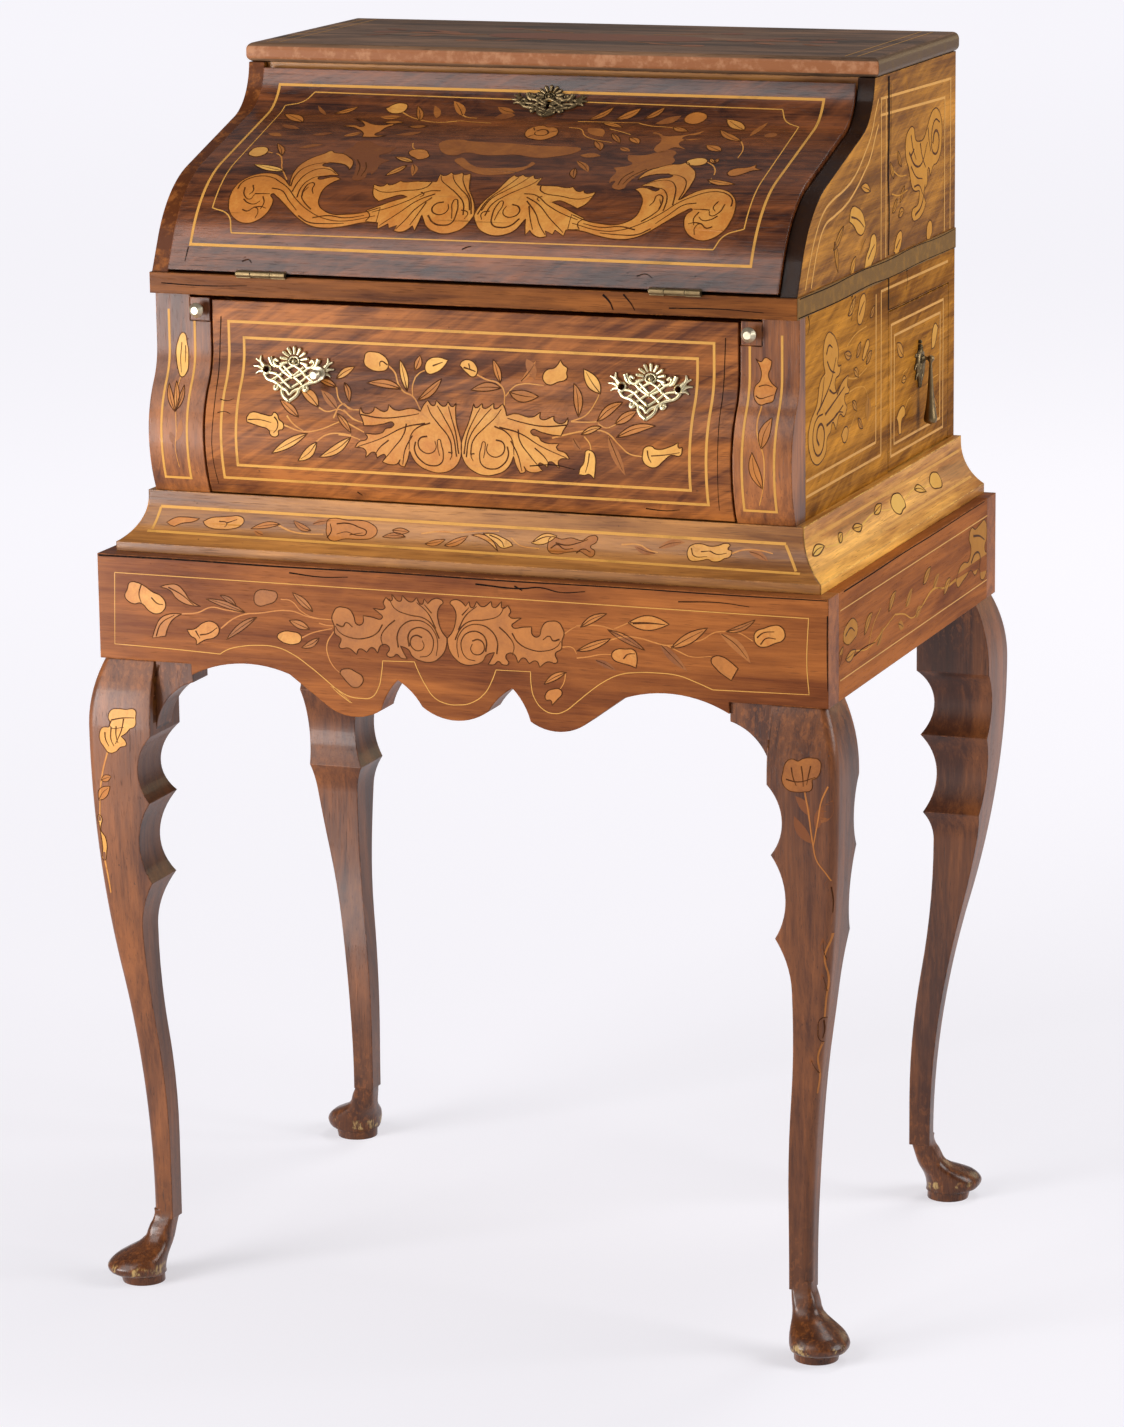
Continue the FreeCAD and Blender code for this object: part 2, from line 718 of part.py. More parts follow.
# Aprons and ear brackets
right_edge = [
    ("half_width", "apron_base"),
    ("ear_reach", "apron_base"),
    ("ear_reach", "tail_base", "arch_radius", 1),
    ("arch_end", "arch_end_height"),
    ("lobe_outer", "lobe_height", "lobe_radius", -1),
    ("lobe_inner", "lobe_height", "slope_radius", 1),
    ("notch_reach", "notch_height", "slope_radius", 1),
    ("middle_reach", "middle_height", "middle_radius", -1),
]
left_edge = []
for here, before in zip(right_edge[:0:-1], right_edge[-2::-1]):
    left_edge.append((f"-({here[0]})", here[1]) + before[2:])
left_edge.append(("-half_width", "apron_base"))
apron_front = prism("apron_front", "XZ", "-half_depth", "apron_thick - half_depth",
                    [("-half_width", "apron_top"), ("half_width", "apron_top")] + right_edge + left_edge)
apron_back = board("apron_back", ("-half_width", "half_width"), ("half_depth - apron_thick", "half_depth"),
                   ("apron_base", "apron_top"))
apron_right = board("apron_right", ("half_width - apron_thick", "half_width"),
                    ("apron_thick - half_depth", "half_depth - apron_thick"), ("apron_base", "apron_top"))
apron_left = mirror("apron_left", apron_right, (1, 0, 0))
ear_bracket_right = prism("ear_bracket_right", "XZ", "ear_set - half_depth", "ear_set + ear_thick - half_depth", [
    ("half_width - leg_thick", "apron_base"),
    ("ear_reach", "apron_base"),
    ("ear_reach", "ear_drop", "ear_radius", -1),
    ("half_width - leg_thick", "ear_foot"),
])
ear_bracket_left = mirror("ear_bracket_left", ear_bracket_right, (1, 0, 0))

# Base moulding, mitred at the front corners
moulding_run = prism("moulding_run", "YZ", "-moulding_half", "moulding_half", [
    ("-moulding_front", "apron_top"),
    ("-moulding_front", "apron_top + moulding_fillet", "hollow_radius", 1),
    ("-lip_front", "case_base - lip_height"),
    ("-lip_front", "case_base"),
    ("-frame_front", "case_base"),
    ("-frame_front", "apron_top"),
])
front_mitre = prism("front_mitre", "XY", "apron_top", "case_base", [
    ("-moulding_half", "-moulding_front"),
    ("moulding_half", "-moulding_front"),
    ("inner_half", "-frame_front"),
    ("-inner_half", "-frame_front"),
])
moulding_front = common("moulding_front", moulding_run, front_mitre)
side_run = prism("side_run", "XZ", "-moulding_front", "case_back", [
    ("moulding_half", "apron_top"),
    ("moulding_half", "apron_top + moulding_fillet", "hollow_radius", -1),
    ("lip_half", "case_base - lip_height"),
    ("lip_half", "case_base"),
    ("inner_half", "case_base"),
    ("inner_half", "apron_top"),
])
side_mitre = prism("side_mitre", "XY", "apron_top", "case_base", [
    ("moulding_half", "-moulding_front"),
    ("moulding_half", "case_back"),
    ("inner_half", "case_back"),
    ("inner_half", "-frame_front"),
])
moulding_right = common("moulding_right", side_run, side_mitre)
moulding_left = mirror("moulding_left", moulding_right, (1, 0, 0))

# Lower case
inner_span = ("-inner_half", "inner_half")
case_bottom = board("case_bottom", inner_span, ("-frame_front", "back_inner"),
                    ("case_base - bottom_thick", "case_base"))
back_board = board("back_board", inner_span, ("back_inner", "case_back"), ("apron_top", "case_top"))
lower_heights = ("case_base", "desk_under")
right_plain = board("right_plain", ("inner_half", "case_half"), ("-stile_back", "case_back"), lower_heights)
side_opening = board("side_opening", ("inner_half", "case_half"), ("opening_front", "opening_back"),
                     ("case_base", "opening_top"))
side_lower_right = cut("side_lower_right", right_plain, [side_opening])
side_lower_left = mirror("side_lower_left", right_plain, (1, 0, 0))


def serpentine(label, low, far, back, proud):
    """Upright with the swelling front of the case."""
    turn_y = f"-waist_front - swell * waist_share - {proud}"
    turn_z = "waist_height - swell_drop * waist_share"
    return prism(label, "YZ", low, far, [
        (f"-{back}", "desk_under"),
        (f"-waist_front - {proud}", "desk_under"),
        (f"-waist_front - {proud}", "waist_height", "swell_radii * waist_share", -1),
        (turn_y, turn_z, "swell_radii * (1 - waist_share)", 1),
        (f"-belly_front - {proud}", "belly_height", "belly_foot_radius", 1),
        (f"-stile_foot_front - {proud}", "case_base"),
        (f"-{back}", "case_base"),
    ])


stile_blank = serpentine("stile_blank", "stile_inner", "case_half", "stile_back", "0")
loper_notch = board("loper_notch", ("stile_inner", "loper_outer + loper_gap"), ("-belly_front", "-stile_back"),
                    ("loper_base - loper_gap", "desk_under"))
stile_right = cut("stile_right", stile_blank, [loper_notch])
stile_left = mirror("stile_left", stile_right, (1, 0, 0))
partition = board("partition", inner_span, ("partition_front", "partition_front + partition_thick"), lower_heights)
guide_right = board("guide_right", ("guide_inner", "inner_half"), ("-stile_back", "partition_front"),
                    ("case_base", "case_base + guide_height"))
guide_left = mirror("guide_left", guide_right, (1, 0, 0))
drawer_guides = group("drawer_guides", [guide_left, guide_right])
loper_bearer_right = prism("loper_bearer_right", "XZ", "-bearer_front", "partition_front", [
    ("bearer_inner", "bearer_base"),
    ("inner_half", "bearer_base"),
    ("inner_half", "loper_base - loper_gap"),
    ("bearer_inner + bearer_lip", "loper_base - loper_gap"),
    ("bearer_inner + bearer_lip", "desk_under"),
    ("bearer_inner", "desk_under"),
])
loper_bearer_left = mirror("loper_bearer_left", loper_bearer_right, (1, 0, 0))
side_drawer_guide = board("side_drawer_guide", inner_span, ("opening_back", "back_inner"),
                          ("case_base", "case_base + side_guide_height"))

# Upper sides, top and rail
side_top_y = "cove_y + sqrt(side_cove^2 - (cove_z - case_top)^2)"


def ogee(cove, shoulder, foot):
    """Front curve from the foot up: straight slope, round shoulder, flat, hollow cove."""
    bend_y = f"shoulder_y - {shoulder} * slope_sin"
    bend_z = f"shoulder_z + {shoulder} * slope_cos"
    return [
        (f"{bend_y} - ({bend_z} - {foot}) * slope_cos / slope_sin", foot),
        (bend_y, bend_z, shoulder, -1),
        (f"shoulder_y + {shoulder} * ogee_cos", f"shoulder_z + {shoulder} * ogee_sin"),
        (f"cove_y - {cove} * ogee_cos", f"cove_z - {cove} * ogee_sin", cove, 1),
    ]


side_upper_right = prism("side_upper_right", "YZ", "inner_half", "case_half",
                         ogee("side_cove", "side_shoulder", "desk_top") + [
                             (side_top_y, "case_top"),
                             ("case_back", "case_top"),
                             ("case_back", "desk_top"),
                         ])
side_upper_left = mirror("side_upper_left", side_upper_right, (1, 0, 0))
top_blank = board("top_blank", ("-top_half", "top_half"), ("-top_front", "case_back"),
                  ("case_top", "case_top + top_thick"))
doc.recompute()
rounded_edges = []
for index, edge in enumerate(top_blank.Shape.Edges, 1):
    middle = edge.CenterOfMass
    level = edge.BoundBox.ZLength < edge.BoundBox.DiagonalLength / 2
    if level and middle.y < amount_of("case_back") - amount_of("top_round"):
        rounded_edges.append((index, amount_of("top_round"), amount_of("top_round")))
top_board = doc.addObject("Part::Fillet", "top_board")
top_board.Label = "top_board"
top_board.Base = top_blank
top_board.Edges = rounded_edges
rail_blank = prism("rail_blank", "YZ", "-inner_half", "inner_half", [
    ("rail_front", "rail_lip"),
    ("rail_front", "case_top"),
    ("rail_back", "case_top"),
    ("rail_back", "rail_base"),
    ("rail_front + rail_run", "rail_base"),
])
bolt_half_thick = "bolt_thick / 2 + bolt_clearance"
bolt_mortise = leaning("bolt_mortise", ("-bolt_half - bolt_clearance", "bolt_half + bolt_clearance"),
                       ("0", "bolt_throw + mortise_clearance"), (f"-({bolt_half_thick})", bolt_half_thick))
upper_rail = cut("upper_rail", rail_blank, [bolt_mortise])

# Hinges: desk leaves carry the pins, fall leaves turn on them
hinge_low = "hinge_reach - hinge_half"
hinge_far = "hinge_reach + hinge_half"
middle_low = "hinge_reach - knuckle_half"
middle_far = "hinge_reach + knuckle_half"
hinge_axis = ("-hinge_front", "hinge_height")
leaf_span = ("-ledge_front", "-leaf_back")
tab_span = ("-hinge_front", "-ledge_front")
desk_leaf_heights = ("desk_top - leaf_thick", "desk_top")
fall_leaf_heights = ("fall_foot", "fall_foot + leaf_thick")
desk_leaf = board("desk_leaf", (hinge_low, hinge_far), leaf_span, desk_leaf_heights)
fall_leaf = board("fall_leaf", (hinge_low, hinge_far), leaf_span, fall_leaf_heights)
ends = [(hinge_low, f"{middle_low} - knuckle_gap"), (f"{middle_far} + knuckle_gap", hinge_far)]
desk_pieces = [desk_leaf]
for number, (low, far) in enumerate(ends, 1):
    desk_pieces.append(board(f"desk_tab_{number}", (low, far), tab_span, desk_leaf_heights))
    desk_pieces.append(
        rod(f"desk_knuckle_{number}", "knuckle_radius", (low,) + hinge_axis, f"({far}) - ({low})", (1, 0, 0)))
desk_pieces.append(rod("hinge_pin", "pin_radius", (hinge_low,) + hinge_axis, "2 * hinge_half", (1, 0, 0)))
desk_hinge_right = fuse("desk_hinge_right", desk_pieces)
fall_knuckle = rod("fall_knuckle", "knuckle_radius", (middle_low,) + hinge_axis, "2 * knuckle_half", (1, 0, 0))
fall_tab = board("fall_tab", (middle_low, middle_far), tab_span, fall_leaf_heights)
fall_hinge_solid = fuse("fall_hinge_solid", [fall_leaf, fall_tab, fall_knuckle])
fall_bore = rod("fall_bore", "pin_radius + pin_clearance", (middle_low,) + hinge_axis, "2 * knuckle_half", (1, 0, 0))
fall_hinge_right = cut("fall_hinge_right", fall_hinge_solid, [fall_bore])
desk_leaf_left = mirror("desk_leaf_left", desk_leaf, (1, 0, 0))
fall_leaf_left = mirror("fall_leaf_left", fall_leaf, (1, 0, 0))
desk_hinge_left = mirror("desk_hinge_left", desk_hinge_right, (1, 0, 0))
fall_hinge_left = mirror("fall_hinge_left", fall_hinge_right, (1, 0, 0))
hinge_leaves_desk = group("hinge_leaves_desk", [desk_hinge_left, desk_hinge_right])
hinge_leaves_fall = group("hinge_leaves_fall", [fall_hinge_left, fall_hinge_right])

# Desk board, let in for the hinge leaves
desk_blank = board("desk_blank", ("-ledge_half", "ledge_half"), ("-ledge_front", "case_back"),
                   ("desk_under", "desk_top"))
desk_board = cut("desk_board", desk_blank, [back_board, desk_leaf, desk_leaf_left])

# Fall with lock, bolt and escutcheon
inner_foot = "cove_y + (face_reach + (fall_foot - cove_z) * lean_cos) / lean_sin"
fall_blank = prism("fall_blank", "YZ", "-fall_half", "fall_half",
                   ogee("fall_cove", "fall_shoulder", "fall_foot") + [
                       ("head_y", "fall_head"),
                       ("end_y", "end_z"),
                       (inner_foot, "fall_foot"),
                   ])
lock_case = leaning("lock_case", ("-lock_half", "lock_half"), ("-lock_length", "0"), ("-lock_proud", "lock_let_in"))
bolt_channel = leaning("bolt_channel", ("-bolt_half - bolt_clearance", "bolt_half + bolt_clearance"),
                       ("-bolt_length - bolt_set_back - bolt_clearance", "0"),
                       (f"-({bolt_half_thick})", bolt_half_thick))
fall_lock = cut("fall_lock", lock_case, [bolt_channel])
lock_bolt = leaning("lock_bolt", ("-bolt_half", "bolt_half"), ("-bolt_length - bolt_set_back", "-bolt_set_back"),
                    ("-bolt_thick / 2", "bolt_thick / 2"))
key_round = rod("key_round", "keyhole_radius", ("0", "cove_y", "escutcheon_height"), "fall_cove + keyhole_reach",
                (0, 1, 0))
key_slot = board("key_slot", ("-keyhole_half", "keyhole_half"), ("cove_y", "fall_cove + keyhole_reach + cove_y"),
                 ("escutcheon_height - keyhole_drop", "escutcheon_height"))
fall = cut("fall", fall_blank, [fall_leaf, fall_leaf_left, lock_case, key_round, key_slot])

# Outline of the pierced plates: shares of half width and half height, share of half width as arc radius, hand
RIGHT_SHARES = [
    (0.0, -1.0, 0.32, 1),
    (0.34, -0.72, 0.2, -1),
    (0.6, -0.62, 0.3, 1),
    (0.86, -0.3, 0.3, 1),
    (1.0, 0.06, 0.22, 1),
    (0.8, 0.36, 0.16, -1),
    (0.62, 0.5, 0.24, 1),
    (0.34, 0.7, 0.2, -1),
    (0.2, 0.86, 0.24, 1),
]
HOLE_SHARES = [(0.32, 0.1, 0.11), (0.0, -0.52, 0.1), (0.0, 0.42, 0.09), (0.62, -0.22, 0.07)]


def plate_corners(across, up, half, rise):
    """Lobed outline, the same on both hands."""
    left_shares = []
    for here, before in zip(RIGHT_SHARES[:0:-1], RIGHT_SHARES[-2::-1]):
        left_shares.append((-here[0], here[1]) + before[2:])
    return [(f"{across} + {half} * ({u})", f"{up} + {rise} * ({v})", f"{half} * {radius}", hand)
            for u, v, radius, hand in RIGHT_SHARES + left_shares]


def plate_holes(across, up, half, rise):
    """Piercings, the same on both hands."""
    both = [(side * u, v, radius) for u, v, radius in HOLE_SHARES for side in ((1, -1) if u else (1,))]
    return [(f"{across} + {half} * ({u})", f"{up} + {rise} * ({v})", f"{half} * {radius}") for u, v, radius in both]


shell_axis = ("-escutcheon_half", "cove_y", "cove_z")
shell_outer = rod("shell_outer", "fall_cove - seat_gap", shell_axis, "2 * escutcheon_half", (1, 0, 0))
shell_inner = rod("shell_inner", "fall_cove - seat_gap - plate_thick", shell_axis, "2 * escutcheon_half", (1, 0, 0))
cove_shell = cut("cove_shell", shell_outer, [shell_inner])
escutcheon_size = ("0", "escutcheon_height", "escutcheon_half", "escutcheon_rise")
escutcheon_outline = prism("escutcheon_outline", "XZ", "cove_y", "cove_y + fall_cove",
                           plate_corners(*escutcheon_size), plate_holes(*escutcheon_size)[:2])
escutcheon_blank = common("escutcheon_blank", escutcheon_outline, cove_shell)
escutcheon = cut("escutcheon", escutcheon_blank, [key_round, key_slot])

# Front drawer
drawer_blank = serpentine("drawer_blank", "-drawer_half", "drawer_half", "drawer_front_back", "0")
drawer_seat = serpentine("drawer_seat", "-drawer_half", "drawer_half", "drawer_front_back", "seat_gap")
drawer_skin = serpentine("drawer_skin", "-drawer_half", "drawer_half", "drawer_front_back",
                         "(seat_gap + plate_thick)")
drawer_heights = board("drawer_heights", ("-drawer_half", "drawer_half"),
                       ("-belly_front", "-drawer_front_back"), ("drawer_foot", "drawer_head"))
drawer_panel = common("drawer_panel", drawer_blank, drawer_heights)
post_bores = [
    rod(f"post_bore_{name}", "post_hole_radius", (f"({hand}) * plate_reach + ({side}) * post_hole_reach",
                                                  "-belly_front", "plate_height"),
        "belly_front - drawer_front_back", (0, 1, 0))
    for name, hand, side in (("a", -1, -1), ("b", -1, 1), ("c", 1, -1), ("d", 1, 1))
]
drawer_front = cut("drawer_front", drawer_panel, post_bores)
drawer_inner = "drawer_side_half - drawer_side_thick"
drawer_low = "case_base + drawer_lift"
drawer_floor_low = f"{drawer_low} + drawer_floor"
drawer_floor_top = f"{drawer_floor_low} + drawer_bottom_thick"
drawer_side_right = board("drawer_side_right", (drawer_inner, "drawer_side_half"),
                          ("-drawer_front_back", "drawer_back_y"), (drawer_low, "drawer_side_top"))
drawer_side_left = mirror("drawer_side_left", drawer_side_right, (1, 0, 0))
drawer_across = (f"-({drawer_inner})", drawer_inner)
drawer_back = board("drawer_back", drawer_across, ("drawer_back_y - drawer_side_thick", "drawer_back_y"),
                    (drawer_low, "drawer_side_top"))
drawer_bottom = board("drawer_bottom", drawer_across, ("-drawer_front_back", "drawer_back_y - drawer_side_thick"),
                      (drawer_floor_low, drawer_floor_top))
plate_size = ("plate_reach", "plate_height", "plate_half", "plate_rise")
post_holes = [(f"plate_reach + ({side}) * post_hole_reach", "plate_height", "post_hole_radius") for side in (1, -1)]
plate_outline = prism("plate_outline", "XZ", "-plate_front", "-plate_back",
                      plate_corners(*plate_size), plate_holes(*plate_size)[2:4] + post_holes)
plate_skin = common("plate_skin", plate_outline, drawer_skin)
plate_right = cut("plate_right", plate_skin, [drawer_seat])
plate_left = mirror("plate_left", plate_right, (1, 0, 0))
post_across = "post_hole_reach - plate_reach"
post_turned = turned("post_turned", (post_across, "-waist_front", "plate_height"), 90, [
    ("0", "0"),
    ("post_base_radius", "0"),
    ("post_base_radius", "post_base"),
    ("post_neck_radius", "post_base"),
    ("post_neck_radius", "post_neck"),
    ("post_head_radius", "(post_neck + post_head) / 2"),
    ("post_neck_radius", "post_head"),
    ("0", "post_head"),
])
post_seated = cut("post_seated", post_turned, [drawer_skin])
post_shank = rod("post_shank", "post_hole_radius", (post_across, "-waist_front - post_neck", "plate_height"),
                 "waist_front + post_neck - drawer_front_back", (0, 1, 0))
handle_post = fuse("handle_post", [post_seated, post_shank])
drawer_plates = group("drawer_plates", [plate_left, plate_right])

# Side drawer with its drop handle
front_low = "opening_front + side_drawer_gap"
front_far = "opening_back - side_drawer_gap"
box_low = "opening_front + side_drawer_play"
box_far = "opening_back - side_drawer_play"
front_inner = "case_half - side_drawer_thick"
end_inner = "side_drawer_wall - side_drawer_end"
side_drawer_front = board("side_drawer_front", (front_inner, "case_half"), (front_low, front_far),
                          ("drawer_foot", "opening_top - side_drawer_gap"))
side_drawer_near = board("side_drawer_near", ("-side_drawer_end", front_inner),
                         (box_low, f"{box_low} + side_drawer_wall"), (drawer_low, "side_drawer_top"))
side_drawer_far = board("side_drawer_far", ("-side_drawer_end", front_inner),
                        (f"{box_far} - side_drawer_wall", box_far), (drawer_low, "side_drawer_top"))
box_inner = (f"{box_low} + side_drawer_wall", f"{box_far} - side_drawer_wall")
side_drawer_back = board("side_drawer_back", ("-side_drawer_end", end_inner), box_inner,
                         (drawer_low, "side_drawer_top"))
side_drawer_bottom = board("side_drawer_bottom", (end_inner, front_inner), box_inner,
                           (drawer_floor_low, drawer_floor_top))
drop_size = ("drop_y", "drop_plate_height", "drop_half", "drop_rise")
drop_back = prism("drop_back", "YZ", "case_half", "case_half + plate_thick",
                  plate_corners(*drop_size), plate_holes(*drop_size)[2:3])
cheek_heights = ("drop_pivot_height - cheek_radius", "drop_pivot_height + cheek_radius")
cheek_across = ("case_half", "drop_x + cheek_radius")
cheek_near = board("cheek_near", cheek_across, ("drop_y - cheek_gap - cheek_thick", "drop_y - cheek_gap"),
                   cheek_heights)
cheek_far = board("cheek_far", cheek_across, ("drop_y + cheek_gap", "drop_y + cheek_gap + cheek_thick"),
                  cheek_heights)
drop_pin = rod("drop_pin", "drop_pin_radius", ("drop_x", "drop_y - cheek_gap - cheek_thick", "drop_pivot_height"),
               "2 * (cheek_gap + cheek_thick)", (0, 1, 0))
drop_plate = fuse("drop_plate", [drop_back, cheek_near, cheek_far, drop_pin])
drop_eye = rod("drop_eye", "drop_eye_radius", ("drop_x", "drop_y - drop_eye_half", "drop_pivot_height"),
               "2 * drop_eye_half", (0, 1, 0))
drop_trumpet = turned("drop_trumpet", ("drop_x", "drop_y", "0"), 0, [
    ("0", "drop_tip_height"),
    ("drop_neck", "drop_tip_height"),
    ("drop_flare", "drop_rim_height"),
    ("drop_flare", "drop_flare_height"),
    ("drop_neck", "drop_pivot_height - drop_eye_radius"),
    ("drop_neck", "drop_pivot_height"),
    ("0", "drop_pivot_height"),
])
drop_solid = fuse("drop_solid", [drop_eye, drop_trumpet])
drop_bore = rod("drop_bore", "drop_bore_radius", ("drop_x", "drop_y - drop_eye_half", "drop_pivot_height"),
                "2 * drop_eye_half", (0, 1, 0))
drop_handle = cut("drop_handle", drop_solid, [drop_bore])

# Lopers and turned knobs
loper_right = board("loper_right", ("loper_inner", "loper_outer"), ("-waist_front", "loper_back"),
                    ("loper_base", "loper_head"))
loper_left = mirror("loper_left", loper_right, (1, 0, 0))


def knob(label, across, front, up, radius, length):
    """Turned knob pointing to the front."""
    return turned(label, (across, front, up), 90, [
        ("0", "0"),
        ("knob_stem", "0"),
        ("knob_stem", "knob_neck_length"),
        (radius, f"({length} + knob_neck_length) / 2"),
        ("knob_stem", length),
        ("0", length),
    ])


loper_middle = "(loper_inner + loper_outer) / 2"
loper_level = "(loper_base + loper_head) / 2"
loper_knob_right = knob("loper_knob_right", loper_middle, "-waist_front", loper_level, "knob_radius", "knob_length")
loper_knob_left = mirror("loper_knob_left", loper_knob_right, (1, 0, 0))

# Inside of the desk: bed, shelf, dividers and two small drawers
bed_reach = "face_reach + bed_gap"
desk_bed = prism("desk_bed", "YZ", "-inner_half", "inner_half", [
    (f"cove_y + ({bed_reach} + (desk_top - cove_z) * lean_cos) / lean_sin", "desk_top"),
    (f"cove_y + ({bed_reach} + (bed_top - cove_z) * lean_cos) / lean_sin", "bed_top"),
    ("back_inner", "bed_top"),
    ("back_inner", "desk_top"),
])
desk_shelf = board("desk_shelf", inner_span, ("shelf_front", "back_inner"), ("shelf_low", "shelf_top"))
dividers = []
for number, place in enumerate(("divider_near", "divider_far"), 1):
    upright = prism(f"divider_{number}", "YZ", f"{place} - divider_thick / 2", f"{place} + divider_thick / 2", [
        ("divider_front", "shelf_top", "divider_scoop", 1),
        ("divider_front", "case_top"),
        ("back_inner", "case_top"),
        ("back_inner", "shelf_top"),
    ])
    dividers.append(upright)
cell_wall = board("cell_wall", ("cell_half - divider_thick", "cell_half"), ("shelf_front", "back_inner"),
                  ("bed_top", "shelf_low"))
dividers.append(cell_wall)
mirrored_dividers = [mirror(piece.Label + "_left", piece, (1, 0, 0)) for piece in dividers]
desk_dividers = group("desk_dividers", dividers + mirrored_dividers)
small_across = ("cell_half + small_drawer_gap", "inner_half - small_drawer_gap")
small_heights = ("bed_top + small_drawer_gap", "shelf_low - small_drawer_gap")
small_block = board("small_block", small_across, ("small_drawer_front", "small_drawer_back"), small_heights)
small_hollow = board("small_hollow", (f"{small_across[0]} + small_wall", f"{small_across[1]} - small_wall"),
                     ("small_drawer_front + small_front_thick", "small_drawer_back - small_wall"),
                     (f"{small_heights[0]} + small_wall", small_heights[1]))
small_drawer_right = cut("small_drawer_right", small_block, [small_hollow])
small_drawer_left = mirror("small_drawer_left", small_drawer_right, (1, 0, 0))
small_knob_right = knob("small_knob_right", "(cell_half + inner_half) / 2", "small_drawer_front",
                        "(bed_top + shelf_low) / 2", "small_knob_radius", "small_knob_length")
small_knob_left = mirror("small_knob_left", small_knob_right, (1, 0, 0))

doc.recompute()

NODES = [
    leg_front_left, leg_front_right, leg_back_left, leg_back_right,
    apron_front, apron_back, apron_left, apron_right, ear_bracket_left, ear_bracket_right,
    moulding_front, moulding_left, moulding_right, case_bottom, back_board,
    side_lower_left, side_lower_right, stile_left, stile_right, partition, drawer_guides,
    loper_bearer_left, loper_bearer_right, side_drawer_guide, desk_board,
    side_upper_left, side_upper_right, top_board, upper_rail,
    fall, hinge_leaves_desk, hinge_leaves_fall, escutcheon, fall_lock, lock_bolt,
    drawer_front, drawer_side_left, drawer_side_right, drawer_back, drawer_bottom, drawer_plates, handle_post,
    side_drawer_front, side_drawer_near, side_drawer_far, side_drawer_back, side_drawer_bottom,
    drop_plate, drop_handle, loper_left, loper_right, loper_knob_left, loper_knob_right,
    desk_bed, desk_shelf, desk_dividers, small_drawer_left, small_drawer_right, small_knob_left, small_knob_right,
]
os.makedirs("parts", exist_ok=True)
for item in doc.Objects:
    if "Invalid" in item.State or "Error" in item.State:
        raise RuntimeError(f"{item.Label} did not build: {item.State}")
for node in NODES:
    if node.Shape.isNull() or not node.Shape.isValid():
        raise RuntimeError(f"{node.Label} has no sound shape")
    node.Shape.exportStep(os.path.join("parts", node.Label + ".step"))
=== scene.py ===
"""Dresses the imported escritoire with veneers, floral marquetry, stringing, brass and a studio."""
import math

import bmesh
import bpy
from bpy.props import FloatProperty, FloatVectorProperty, PointerProperty
from mathutils import Matrix, Vector
from mathutils.bvhtree import BVHTree


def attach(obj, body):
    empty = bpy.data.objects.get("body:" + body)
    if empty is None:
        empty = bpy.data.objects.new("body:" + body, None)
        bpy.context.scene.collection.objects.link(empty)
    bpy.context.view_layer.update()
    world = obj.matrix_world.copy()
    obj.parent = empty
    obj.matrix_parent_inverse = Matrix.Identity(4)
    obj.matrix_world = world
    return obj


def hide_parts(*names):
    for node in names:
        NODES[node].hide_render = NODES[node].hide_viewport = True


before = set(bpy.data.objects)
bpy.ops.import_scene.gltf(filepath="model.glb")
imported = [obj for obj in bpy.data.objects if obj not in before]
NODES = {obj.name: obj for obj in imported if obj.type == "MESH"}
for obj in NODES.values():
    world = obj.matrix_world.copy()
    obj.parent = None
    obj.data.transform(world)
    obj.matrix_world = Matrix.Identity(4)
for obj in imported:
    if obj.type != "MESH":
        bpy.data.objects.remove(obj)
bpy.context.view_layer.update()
MM = 0.001

# Directions across and up a panel that is laid flat
FRONT = ((1, 0, 0), (0, 0, 1))
RIGHT = ((0, 1, 0), (0, 0, 1))
FALL = ((1, 0, 0), (0, 0.8, 0.6))
TOP = ((1, 0, 0), (0, 1, 0))
HANDS = ((1, "right"), (-1, "left"))

# Turns that bring a grain or its flames to the object's own upright
UPRIGHT = (0, 0, 0)
LEVEL = (0, math.pi / 2, 0)
DEEP = (math.pi / 2, 0, 0)
FRONT_FLAME = (0, -1.05, 0)
SIDE_FLAME = (1.2, 0, 0)

# Inlay: levels in lifts over the ground, widths in millimetres, and the least tone that is outlined or veined
STRING_LEVEL, STEM_LEVEL, LINE_LEVEL = 1.1, 1.3, 1.6
OUTLINE_WIDTH, VEIN_WIDTH = 0.75, 0.7
OUTLINED, VEINED = 0.3, 0.22
STEM_SPREAD, LINE_SPREAD = 1.8, 2.1
MOULDING_STRIP = 0.003

# Carved feet, in metres: height of the carving, and the bands in which its heel line is found
INSTEP_TOP = 0.056
HEEL_BANDS = ((0, 0.001), (0.055, 0.060))
CREASE = 0.6

# Castings: spread of the bars, relief and height over the ground
BAR_SPREAD = 1.38
RELIEF = 1.1
RISE = 0.0008

# Lift of the moulding's gold tints on the side mouldings: a painted golden sheen
GOLD_SHEEN_LIFT = (2.25, 2.5, 2.2)
CAMERA_ANGLES = (-20.7126, 12.9714, -0.6792)

bl_info = {
    "name": "Escritoire",
    "version": (1, 0, 0),
    "blender": (4, 5, 0),
    "location": "View3D > Sidebar > Escritoire",
    "description": "Veneers, marquetry, brass and studio for a writing desk on cabriole legs",
    "category": "Object",
}


def colour(label, words, *tint):
    """Colour property of a finish."""
    return FloatVectorProperty(name=label, description=words, subtype="COLOR", size=3, min=0, max=1, default=tint)


def length(label, words, size):
    """Property of a length in metres."""
    return FloatProperty(name=label, description=words, unit="LENGTH", default=size)


